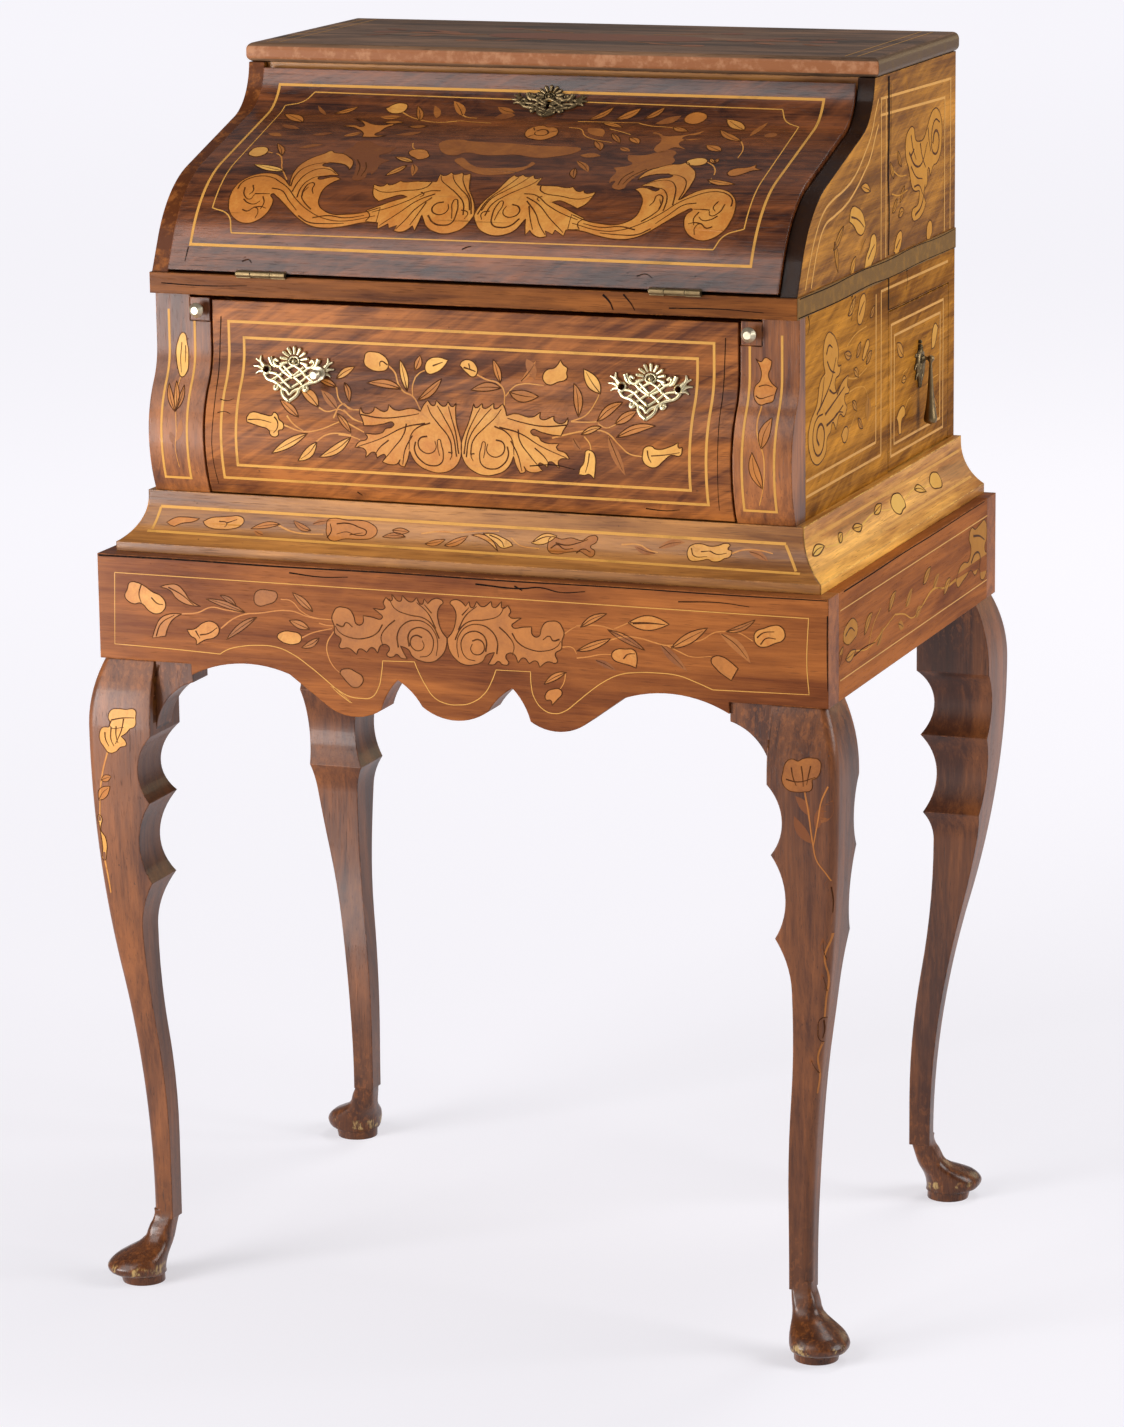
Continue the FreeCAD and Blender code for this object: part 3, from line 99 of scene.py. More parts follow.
class EscritoireColours(bpy.types.PropertyGroup):
    """Colours of the woods and metals."""
    fall_dark: colour("Fall dark", "Dark figure of the fall's mahogany", 0.0336, 0.0078, 0.0028)
    fall_light: colour("Fall light", "Light figure of the fall's mahogany", 0.1960, 0.0538, 0.0123)
    front_dark: colour("Front dark", "Dark figure of the drawer and stiles", 0.095, 0.026, 0.0075)
    front_light: colour("Front light", "Flame of the drawer and stiles", 0.350, 0.112, 0.023)
    stand_dark: colour("Stand dark", "Dark figure of the aprons", 0.140, 0.036, 0.0085)
    stand_light: colour("Stand light", "Light figure of the aprons", 0.320, 0.100, 0.021)
    side_dark: colour("Side dark", "Dark figure of the faded sides", 0.150, 0.050, 0.005)
    side_light: colour("Side light", "Light figure of the faded sides", 0.480, 0.200, 0.022)
    gold_dark: colour("Gold dark", "Dark figure of the moulding", 0.1640, 0.0560, 0.0112)
    gold_light: colour("Gold light", "Light figure of the moulding", 0.4416, 0.1845, 0.0405)
    leg_dark: colour("Leg dark", "Dark figure of the legs", 0.0562, 0.0157, 0.0058)
    leg_light: colour("Leg light", "Light figure of the legs", 0.2035, 0.0638, 0.0163)
    top_dark: colour("Top dark", "Darkened top board", 0.0630, 0.0377, 0.0238)
    top_light: colour("Top light", "Worn patch of the top board", 0.2250, 0.1189, 0.0644)
    oak_dark: colour("Oak dark", "Dark figure of the oak inside", 0.180, 0.074, 0.021)
    oak_light: colour("Oak light", "Light figure of the oak inside", 0.430, 0.215, 0.070)
    inlay_low: colour("Inlay low", "Marquetry that has faded into its ground", 0.1615, 0.0460, 0.0105)
    inlay_mid: colour("Inlay middle", "Golden marquetry", 0.4465, 0.1535, 0.0240)
    inlay_high: colour("Inlay high", "Pale marquetry", 0.7000, 0.3700, 0.0810)
    gilt_low: colour("Side inlay low", "Faded marquetry of the sides", 0.290, 0.115, 0.016)
    gilt_mid: colour("Side inlay middle", "Golden marquetry of the sides", 0.500, 0.225, 0.034)
    gilt_high: colour("Side inlay high", "Pale marquetry of the sides", 0.620, 0.360, 0.085)
    string: colour("Stringing", "Pale box stringing", 0.6208, 0.3004, 0.0612)
    engraving: colour("Engraving", "Filled lines round and in the marquetry", 0.055, 0.016, 0.004)
    # Also the colour of the painted shadow beside the broad cracks of the side
    joint: colour("Open joint", "Dark in the depth of cracks and joints", 0.006, 0.003, 0.002)
    toe: colour("Worn toe", "Bare wood at the rims of the feet", 0.42, 0.27, 0.10)
    ebony: colour("Ebonised edge", "Black front edges of the upper sides", 0.022, 0.010, 0.006)
    brass: colour("Brass", "Pale worn brass", 0.6808, 0.6072, 0.4368)
    dull_brass: colour("Dull brass", "Brass that is no longer polished", 0.21, 0.145, 0.07)
    tarnish: colour("Tarnish", "Dark in the hollows of the brass", 0.080, 0.066, 0.045)
    floor: colour("Floor", "Pale studio floor", 0.900, 0.885, 0.930)


class EscritoireSizes(bpy.types.PropertyGroup):
    """Sizes of the inlay and place of the camera."""
    lift: length("Inlay lift", "Height of the inlay over its ground", 0.00012)
    strip: length("Strip", "Height of the strips that follow a curved ground", 0.004)
    bold: length("Bold string", "Width of the broad stringing", 0.002349)
    fine: length("Fine string", "Width of the thin stringing", 0.0011)
    eye: FloatVectorProperty(name="Camera", description="Place of the camera", subtype="XYZ", unit="LENGTH", size=3,
                             default=(1.56258, -4.12802, 1.50502))
    lens: FloatProperty(name="Lens", description="Focal length in millimetres", default=128.15)


class Reading:
    """A shader value; sums and products of it add Math nodes to its finish."""

    def __init__(self, finish, socket):
        self.finish = finish
        self.socket = socket

    def reckon(self, operation, first, second):
        return self.finish.node("ShaderNodeMath", {"operation": operation}, {0: first, 1: second})

    def __add__(self, other):
        return self.reckon("ADD", self, other)

    def __sub__(self, other):
        return self.reckon("SUBTRACT", self, other)

    def __rsub__(self, other):
        return self.reckon("SUBTRACT", other, self)

    def __mul__(self, other):
        return self.reckon("MULTIPLY", self, other)

    def __abs__(self):
        return self.reckon("ABSOLUTE", self, 0)

    __radd__ = __add__
    __rmul__ = __mul__


class Finish:
    """A material with its node sheet and a Principled shader at the end of it."""

    def __init__(self, name):
        self.material = bpy.data.materials.new(name)
        self.material.use_nodes = True
        self.sheet = self.material.node_tree
        self.sheet.nodes.clear()
        self.shader = self.sheet.nodes.new("ShaderNodeBsdfPrincipled")
        output = self.sheet.nodes.new("ShaderNodeOutputMaterial")
        self.sheet.links.new(self.shader.outputs["BSDF"], output.inputs["Surface"])
        self.place = self.node("ShaderNodeTexCoord", out="Object")

    def node(self, kind, settings=None, inputs=None, out=0):
        """A node of any kind: settings first, then socket values or links; gives one of its outputs."""
        made = self.sheet.nodes.new(kind)
        for name, value in (settings or {}).items():
            if name == "stops":
                for index, (where, tint) in enumerate(value):
                    stop = made.color_ramp.elements[index] if index < 2 else made.color_ramp.elements.new(where)
                    stop.position = where
                    stop.color = (*tint, 1)
            else:
                setattr(made, name, value)
        for key, value in (inputs or {}).items():
            self.set(made.inputs[key], value)
        return Reading(self, made.outputs[out])

    def set(self, socket, value):
        """Links a reading to a socket, or sets its number or colour."""
        if isinstance(value, Reading):
            self.sheet.links.new(value.socket, socket)
        else:
            socket.default_value = value

    def feed(self, name, value):
        """Links or sets an input of the shader."""
        self.set(self.shader.inputs[name], value)

    def fed(self, name):
        """What feeds an input of the shader so far."""
        return Reading(self, self.shader.inputs[name].links[0].from_socket)

    def polish(self, sheen, coat=0, blur=0.12):
        """Strength of the gloss, and of a clear coat with its blur."""
        self.feed("Specular IOR Level", sheen)
        if coat:
            self.feed("Coat Weight", coat)
            self.feed("Coat Roughness", blur)

    def grain(self, scale, turn, detail=3, rough=0.55, warp=0):
        """Noise over the object's own coordinates, turned and then stretched."""
        turned = self.node("ShaderNodeMapping", None, {"Vector": self.place, "Rotation": turn})
        spread = self.node("ShaderNodeMapping", None, {"Vector": turned, "Scale": scale})
        return self.node("ShaderNodeTexNoise", None, {"Vector": spread, "Scale": 1, "Detail": detail,
                                                      "Roughness": rough, "Distortion": warp})

    def cloud(self, scale, detail, rough, warp=0):
        """Noise that is the same in all directions."""
        return self.grain((scale, scale, scale), UPRIGHT, detail, rough, warp)

    def ramp(self, value, *stops):
        """Colour from a value by stops."""
        return self.node("ShaderNodeValToRGB", {"stops": stops}, {"Fac": value})

    def step(self, value, low, high):
        """Smooth rise from 0 to 1 between two values."""
        return self.node("ShaderNodeMapRange", {"interpolation_type": "SMOOTHSTEP"}, {0: value, 1: low, 2: high})

    def mix(self, share, first, second):
        """Mix of two colours."""
        first, second = [c if isinstance(c, Reading) else (*c, 1) for c in (first, second)]
        return self.node("ShaderNodeMix", {"data_type": "RGBA"}, {0: share, 6: first, 7: second}, 2)

    def part(self, vector, axis):
        """One coordinate of a vector."""
        return self.node("ShaderNodeSeparateXYZ", None, {0: vector}, axis)

    def tone(self):
        """Tone of the piece of inlay."""
        return self.node("ShaderNodeAttribute", {"attribute_name": "tone"}, None, "Fac")

    def edges(self, radius):
        """How near the surface is to an edge, and the normal with that edge rounded."""
        rounded = self.node("ShaderNodeBevel", {"samples": 6}, {"Radius": radius})
        flat = self.node("ShaderNodeNewGeometry", out="Normal")
        level = self.node("ShaderNodeVectorMath", {"operation": "DOT_PRODUCT"}, {0: rounded, 1: flat}, "Value")
        return self.step(1 - level, 0.01, 0.14), rounded

    def bump(self, height, distance, normal=None):
        """Feeds a height in metres to the normal."""
        inputs = {"Height": height, "Distance": distance, "Strength": 1}
        if normal:
            inputs["Normal"] = normal
        self.feed("Normal", self.node("ShaderNodeBump", None, inputs))


def shade(tint, amount):
    """A tint made darker or lighter."""
    return tuple(min(1, part * amount) for part in tint)


def veneer(name, dark, light, turn=UPRIGHT, flame=0.5, gloss=0.3, wear=0.5, fade=0.35, edge=None, slant=None,
           sheen=0.3):
    """Figured, aged and polished veneer; turn brings the grain to the object's own upright."""
    f = Finish(name)
    figure = f.grain((11, 11, 2.4), turn, 4, 0.6, 1.2)
    streak = f.grain((75, 75, 4), turn, 5, 0.62, 0.8)
    fibre = f.grain((620, 620, 16), turn, 3, 0.6)
    pore = f.step(f.grain((1500, 1500, 55), turn, 1, 0.5), 0.62, 0.74)
    flames = f.grain((58, 58, 7), slant or turn, 3, 0.6, 1.8)
    tone = figure * (0.55 - 0.25 * flame) + streak * 0.28 + flames * (0.05 + 0.28 * flame) + fibre * 0.12
    middle = tuple((a + b) / 2 for a, b in zip(dark, light))
    body = f.ramp(tone, (0.38, shade(dark, 0.55)), (0.61, shade(light, 1.06)), (0.45, dark), (0.53, middle))
    age = f.step(f.cloud(5, 5, 0.65, 0.6), 0.48, 0.72)
    body = f.mix(age * fade, body, shade(light, 1.12))
    stain = f.step(f.cloud(22, 6, 0.7, 1), 0.62, 0.78)
    body = f.mix(stain * 0.35, body, shade(dark, 0.5))
    body = f.mix(pore * 0.55, body, shade(dark, 0.35))
    near, rounded = f.edges(0.0016)
    rub = f.step(f.cloud(120, 4, 0.7), 0.40, 0.62)
    body = f.mix(near * rub * wear, body, edge or shade(light, 1.5))
    body = f.mix(near * (1 - rub) * 0.55, body, shade(dark, 0.3))
    nick = f.step(f.cloud(260, 2, 0.5), 0.74, 0.80)
    f.feed("Base Color", f.mix(nick * 0.6, body, shade(dark, 0.25)))
    f.feed("Roughness", gloss + fibre * 0.12 + age * 0.10 + stain * 0.08 + pore * 0.15)
    f.polish(sheen, sheen * 0.4)
    ripple = f.cloud(13, 2, 0.5)
    f.bump(fibre * 0.14 + ripple * 0.9 - pore * 0.16 - nick * 0.5, 0.00035, rounded)
    return f


def plain_oak(name, dark, light, turn):
    """Quarter-sawn oak of the inside: straight open grain, dry and dusty."""
    f = Finish(name)
    streak = f.grain((70, 70, 3), turn, 5, 0.6, 0.5)
    pore = f.step(f.grain((900, 900, 22), turn, 2, 0.5), 0.58, 0.70)
    dust = f.step(f.cloud(11, 5, 0.65), 0.45, 0.75)
    body = f.ramp(streak, (0.35, dark), (0.65, light))
    body = f.mix(pore * 0.5, body, shade(dark, 0.5))
    body = f.mix(dust * 0.25, body, shade(dark, 0.75))
    near, rounded = f.edges(0.0010)
    f.feed("Base Color", f.mix(near * 0.35, body, shade(light, 1.25)))
    f.feed("Roughness", 0.55 + dust * 0.2)
    f.bump(streak * 0.2 - pore * 0.5, 0.0003, rounded)
    return f


def cast_brass(name, bright, tarnish, rough):
    """Worn cast brass: bright where it is rubbed, dark in its hollows and patches."""
    f = Finish(name)
    near, rounded = f.edges(0.0008)
    cloud = f.cloud(90, 5, 0.65, 0.5)
    speck = f.step(f.cloud(420, 3, 0.6), 0.55, 0.72)
    hollow = f.node("ShaderNodeAmbientOcclusion", {"samples": 6}, {"Distance": 0.004}, "AO")
    dirt = f.step(1 - hollow, 0.15, 0.75)
    body = f.mix(f.step(cloud, 0.4, 0.7) * 0.55, bright, shade(bright, 0.55))
    body = f.mix(speck * 0.35, body, tarnish)
    body = f.mix(dirt * 0.9, body, tarnish)
    f.feed("Base Color", f.mix(near * 0.6, body, shade(bright, 1.25)))
    f.feed("Metallic", 0.95 - dirt * 0.5)
    f.feed("Roughness", rough + cloud * 0.18 + dirt * 0.25 + speck * 0.1)
    f.bump(cloud * 0.5 + speck * 0.2, 0.0003, rounded)
    return f


# Patterns on the panels laid flat, in millimetres across and up; a row is one piece and ! marks a corner.
# The numbers before the colon are the tone of a cut, the tone and width of a leaf, the width of a stem, line or
# string, the radius and taper of a bar or ring, and the radius of a bead.
FALL_SCROLL = """
cut 0.75: -90,419.5! -102.5,418.5 -119,414.5 -135.5,412.5 -149,414 -160.5,419.5 -170.5,427 -179,434.5 -187.5,441.5 \
-193.5,444.5 -190,438 -190,429.5 -193,422.5 -199,417 -209,414 -219,417 -226.5,424 -230,433 -231,443 -229,454.5 \
-224,463 -215.5,469.5 -204,471.5 -195.5,469 -187.5,463 -180,454.5! -182.5,464.5 -183.5,478 -182.5,489.5 -178,501.5 \
-170.5,510.5 -166,516.5 -161.5,513 -152.5,511.5 -145,505.5 -138.5,499 -135,489.5 -134.5,481! -138,486.5 -145.5,492 \
-157.5,494! -162.5,489.5 -152.5,484 -145.5,477 -140.5,472! -152.5,470.5 -158,466.5 -142.5,469.5 -137,466.5! \
-142.5,461.5 -147.5,453 -148.5,444.5 -146.5,434.5 -140.5,429 -130.5,425.5 -119,426 -105.5,428 -90,434!
cut 0.28: -150,534.5 -142.5,539.5 -135.5,536 -124,528 -109.5,527.5! -112.5,518 -119,510 -105.5,502! -110.5,494.5 \
-110,481.5 -111.5,474.5! -115,478 -115.5,469.5 -120.5,465.5 -126.5,467 -127.5,474.5 -131.5,488 -137.5,500.5 \
-145.5,507 -152.5,511.5 -154,519.5 -150,526.5
line 0.5: -226.5,449 -225.5,456.5 -219,464 -210.5,467 -200.5,465.5 -190.5,459.5 -180.5,452 -169,439.5 -154,428 \
-135.5,420.5 -119,419.5 -92.5,425.5
line 0.5: -220.5,451.5 -218,442 -211.5,438 -209,443
line 0.5: -214,454.5 -211.5,447 -214,443
line 0.5: -209,444 -202.5,444.5 -195,444.5
line 0.5: -217.5,438 -212.5,434 -205.5,433 -201.5,436.5
line 0.5: -215.5,427 -210.5,425.5 -204,429.5 -200.5,425.5 -201.5,419
line 0.5: -200.5,441.5 -197.5,434.5 -199,428
line 0.5: -205.5,429.5 -199,430.5 -194,429
line 0.5: -179,454.5 -180,469.5 -175.5,484.5 -165.5,492 -159,492.5
line 0.5: -175.5,448 -174,461.5 -170.5,473 -162.5,481.5 -152.5,480.5 -144,474
line 0.5: -169,441.5 -169,453 -165.5,463 -159,469 -145.5,468.5
line 0.6: -165,443 -165.5,451.5 -162.5,459.5 -159,459.5 -158,451.5 -155.5,446.5
line 0.5: -152.5,429.5 -160.5,436.5 -165.5,444.5 -162.5,454.5
line 0.5: -149,421.5 -135.5,424 -119,422.5 -102.5,425.5
line 0.5: -162.5,423 -152.5,417.5 -135.5,416.5 -119,417.5
line 0.5: -195.5,451.5 -185.5,449 -175.5,438 -165.5,428
line 0.5: -125.5,496.5 -120.5,484.5 -120,471.5
line 0.5: -135.5,501.5 -127.5,488 -124,473
"""
FALL_ACANTHUS = """
cut 0.8: -3.5,429.5! -6,424 -11,417 -18.5,413 -26.5,411.5 -36,413 -43.5,417 -48.5,424.5 -50.5,428! -51.5,421.5 \
-53.5,413! -56.5,417.5! -60,414 -66.5,411.5 -72.5,412.5! -70.5,417.5! -77.5,414.5! -79,418.5! -87.5,413.5! \
-88.5,419! -100,420! -97.5,425.5 -102,430.5! -90,436.5 -81.5,441 -69,446.5! -75,448.5 -83.5,445.5 -93.5,440.5! \
-100,446.5 -104,460.5! -95,459 -92.5,463! -89.5,460.5 -81.5,467! -79,465.5 -66.5,467 -56.5,467 -49,467.5! \
-50,479.5! -45,477 -41,483! -37,479.5 -31,483! -28,479.5 -23.5,482! -21.5,477 -19.5,469.5 -16,458 -10,448 -6,439.5
line 0.6: -34.5,442.5 -41,440 -43,434 -38.5,429.5 -31.5,430 -28.5,434.5 -30,440.5
line 0.6: -45,428 -38.5,421 -30,419 -22,421.5 -20,429.5 -21.5,441.5 -24.5,446 -26.5,441.5 -24.5,433 -23,425.5
line 0.5: -13.5,429.5 -16.5,441.5 -26.5,453 -36.5,461.5 -45,469.5 -48.5,477
line 0.5: -9,434.5 -14,448 -25,459.5 -33.5,469.5 -38.5,479
line 0.5: -6.5,430.5 -11.5,446.5 -20,459.5 -26.5,471.5 -29,479
line 0.5: -16.5,434.5 -10,432 -11.5,425.5
line 0.5: -53,466.5 -55.5,459.5 -75,454 -93.5,451.5 -102.5,455.5
line 0.5: -41.5,455.5 -51.5,454.5 -66.5,443 -81.5,434.5 -96.5,429
line 0.5: -45,451.5 -58.5,443 -71.5,429.5 -86.5,416.5
line 0.5: -46.5,447 -58.5,433 -64,423 -71,414
line 0.5: -50,441.5 -54,429.5 -59,418
line 0.5: -58.5,453 -55,450.5 -57.5,447
"""
FALL_FLOWERS = """
cut 0.95: -240,511.5 -239,517 -235,519.5 -229,519.5 -225,515.5 -223.5,510.5 -225,504 -230,500.5 -235.5,502 \
-239.5,505.5
stem 0.9: -223,510.5 -217.5,508.5
stem 0.9: -214,508 -209,504.5 -202.5,493 -197.5,481.5 -185.5,463
leaf 0.9 8: -192,475.5 -225.5,485.5
leaf 0.4 5.5: -207.5,504 -222,528
leaf 0.5 10.5: -216.5,571.5 -240.5,586.5
leaf 0.2 3.5: -200.5,586.5 -214.5,602
leaf 0.35 6: -195,591 -175.5,602
cut 0.65: -149.5,600! -142.5,606.5 -135.5,607.5 -130.5,605.5 -130,599.5 -133,595 -140,593.5 -145.5,596
stem 0.8: -132.5,596 -119,587 -102.5,580.5 -90,579.5 -75.5,582
leaf 0.3 7.5: -130.5,588 -150,587
leaf 0.35 6: -110.5,581 -121,605.5
leaf 0.15 6.5: -97,587.5 -105,606
cut 0.55: -171,582! -159,576.5 -149,571 -139,570.5 -131,573 -135.5,566 -137.5,558 -140,551 -129,550.5! -135.5,547 \
-149.5,546! -152.5,554.5 -165.5,564.5! -176,566.5! -165.5,568.5 -157.5,566 -160.5,574
leaf 0.4 5.5: -142.5,577 -123.5,577.5
leaf 0.4 5.5: -98.5,571.5 -116,569.5
leaf 0.15 6.5: -99,559.5 -121,552
leaf 0.3 6.5: -154,554.5 -167.5,546.5
leaf 0.12 6.5: -234,565.5 -214,558
leaf 0.12 6.5: -239,547 -224,542
leaf 0.1 5.5: -179,552 -197.5,546.5
leaf 0.1 6: -179,528 -199,519
cut 0.42: -95,521.5 -90,525 -81.5,524 -76.5,518 -73.5,511.5 -80,505.5 -86,509 -91.5,513
leaf 0.55 6.5: -83.5,499.5 -103.5,509
leaf 0.5 7.5: -86.5,494 -98.5,474
leaf 0.3 6: -82,496.5 -74,474.5
leaf 0.3 8.5: -74.5,592.5 -88.5,611.5
leaf 0.25 7.5: -28.5,600 -46,606.5
leaf 0.15 10: -26.5,596.5 -45,590.5
stem 0.8: -75,594 -70,591 -60,589.5
stem 0.7: -85,580.5 -73.5,583.5 -61.5,582 -43.5,581
cut 0.22: -73.5,541.5 -56.5,546.5 -50,544.5 -10,542.5 16.5,539.5 46.5,539.5 56,536.5 54.5,529.5 38.5,519.5 \
26.5,516 0,521 -10,519 -25,518 -45,521.5 -50,516 -60,517.5 -70,528
cut 0.12: -46.5,510.5 -30,499.5 -21.5,494.5 0,494.5 20,499.5 23.5,508 16.5,488 0,481.5 -10,480.5 -21.5,484.5 \
-36.5,494.5
cut 0.5: -6,570.5! -1.5,576.5 6.5,579 10,576.5 16.5,576.5 22.5,570.5 24.5,561.5! 20,554.5 15,551 6.5,552 0,554.5 \
-5,562
line 0.7: 3.5,568 8.5,571.5 14,568 15,562 10,559.5 4.5,561.5 3,566.5
line 0.5: -1.5,574.5 1.5,569
line 0.5: 21.5,569.5 15,566
line 0.5: 0,556.5 4.5,561.5
leaf 0.35 6.5: 41.5,592.5 60.5,610
leaf 0.4 8.5: 66.5,594.5 85.5,609.5
leaf 0.4 6: 56,588.5 78,579.5
leaf 0.2 12.5: 47.5,576.5 66.5,561
leaf 0.4 5.5: 72.5,568.5 86.5,549.5
leaf 0.35 7.5: 62.5,553 74.5,534
leaf 0.25 6.5: 61,513 79,492
leaf 0.4 6: 64.5,499.5 71,479.5
leaf 0.18 8.5: 60,524 78.5,524
stem 0.7: 33.5,589 50,589.5 76.5,589.5 90,590
stem 0.7: 30,577 41.5,574.5 50,562 60,555.5 79,550
stem 0.7: 67.5,576.5 80,571.5 90,566.5
stem 0.6: -98.5,537 -93.5,526.5 -83.5,521.5
leaf 0.4 6.5: 91.5,597 107,611.5
leaf 0.15 9.5: 104,589.5 124,602.5
cut 0.4: 128,601.5 132.5,606 140,607 147,603 146,596.5 140,591 133.5,591.5 128.5,595.5
stem 0.8: 90,589 103.5,584.5 120,583 133.5,578
leaf 0.4 7.5: 122.5,584.5 138.5,576.5
leaf 0.75 11: 187,582 165.5,599.5
leaf 0.5 8: 192,560 165.5,581.5
stem 0.7: 191,561.5 198.5,544.5 199.5,528
leaf 0.18 5.5: 195.5,570.5 203.5,597
cut 0.15: 208,574 211.5,578 217.5,577 218.5,573 213.5,569.5 209,570.5
leaf 0.4 9.5: 180.5,540 163.5,551
cut 0.72: 157.5,519 161,523.5 168.5,526 174,523 175.5,517 171.5,512 163.5,511.5 159,514.5
leaf 0.6 4.5: 183.5,516.5 176.5,526
leaf 0.45 4: 183.5,518 183,526
stem 0.8: 175,519 183.5,511.5 188.5,501.5 190,494.5
cut 0.5: 200,501.5 205,508.5 213.5,510.5 220,516.5! 221.5,510.5 228,507.5! 219,504.5 215,499.5 206.5,493.5 \
202,495.5
leaf 0.5 7.5: 187,486 213.5,479.5
stem 0.6: 191.5,479.5 190,488
cut 0.25: 108.5,572 115,570.5 120,566.5 131.5,567 145,573 153,579! 148.5,570.5 140,568 138.5,561.5 159,563! \
141.5,559.5 138.5,553 148.5,541.5! 136.5,544.5 130,534.5 123.5,535.5 120,544.5 121.5,554.5 115,568
leaf 0.35 7.5: 91,561.5 103.5,549.5
leaf 0.3 6: 90,541.5 101,534.5
"""
DRAWER_ACANTHUS = """
cut 0.8: -1,769.5 -3,777 -6.5,787 -8.5,797 -9,802.5! -11.5,799.5 -16.5,803! -18.5,799.5 -27,803.5! -28.5,799.5 \
-35,803.5! -38,799.5 -40,794.5! -47,796.5 -63,794.5 -69.5,798.5! -70.5,793.5 -82,796! -83,792.5 -91.5,791 \
-94.5,795.5! -95,791 -92,785.5 -90,780.5! -81.5,781 -73,782.5 -63,783.5 -64.5,780.5 -70,779 -73,775.5 -88.5,774! \
-86.5,770.5 -94.5,766.5 -98,762! -88.5,760 -88.5,753.5! -80,758.5 -78,753.5! -75.5,755.5 -70.5,756.5 -73.5,750.5! \
-67,748.5 -60,749.5 -57,753.5! -58,749 -53.5,747! -50,754 -48,761.5! -45.5,755.5 -40,749 -31.5,745 -21.5,743.5 \
-11.5,746.5 -5,752 -1.5,759!
line 0.55: -32,774.5 -38.5,772.5 -40,766.5 -35.5,761 -28.5,760.5 -24,765 -25,771
line 0.55: -42.5,769.5 -43.5,762.5 -38,753.5 -28.5,749.5 -19.5,752.5 -17.5,759.5 -19,767.5 -21.5,772.5 -22.5,767 \
-21,758.5
line 0.5: -9.5,761 -11.5,772.5 -23,785.5 -30,792.5 -34.5,799.5
line 0.5: -5.5,758.5 -8.5,775.5 -18.5,791 -25.5,799.5
line 0.5: -3.5,761 -6.5,778.5 -11.5,791 -15.5,799.5
line 0.5: -30,785.5 -41.5,781 -47,774.5 -48.5,762.5
line 0.5: -94,789.5 -74.5,787.5 -53,790 -41,792.5
line 0.5: -34.5,785 -53,781 -73,771 -95.5,762.5
line 0.5: -51.5,784 -53.5,775 -63,762.5 -73,751
line 0.5: -45.5,774.5 -52,762.5 -55,749
line 0.5: -67,769.5 -75.5,762.5 -80,756
line 0.5: -13,762 -10,761 -11.5,755.5
"""
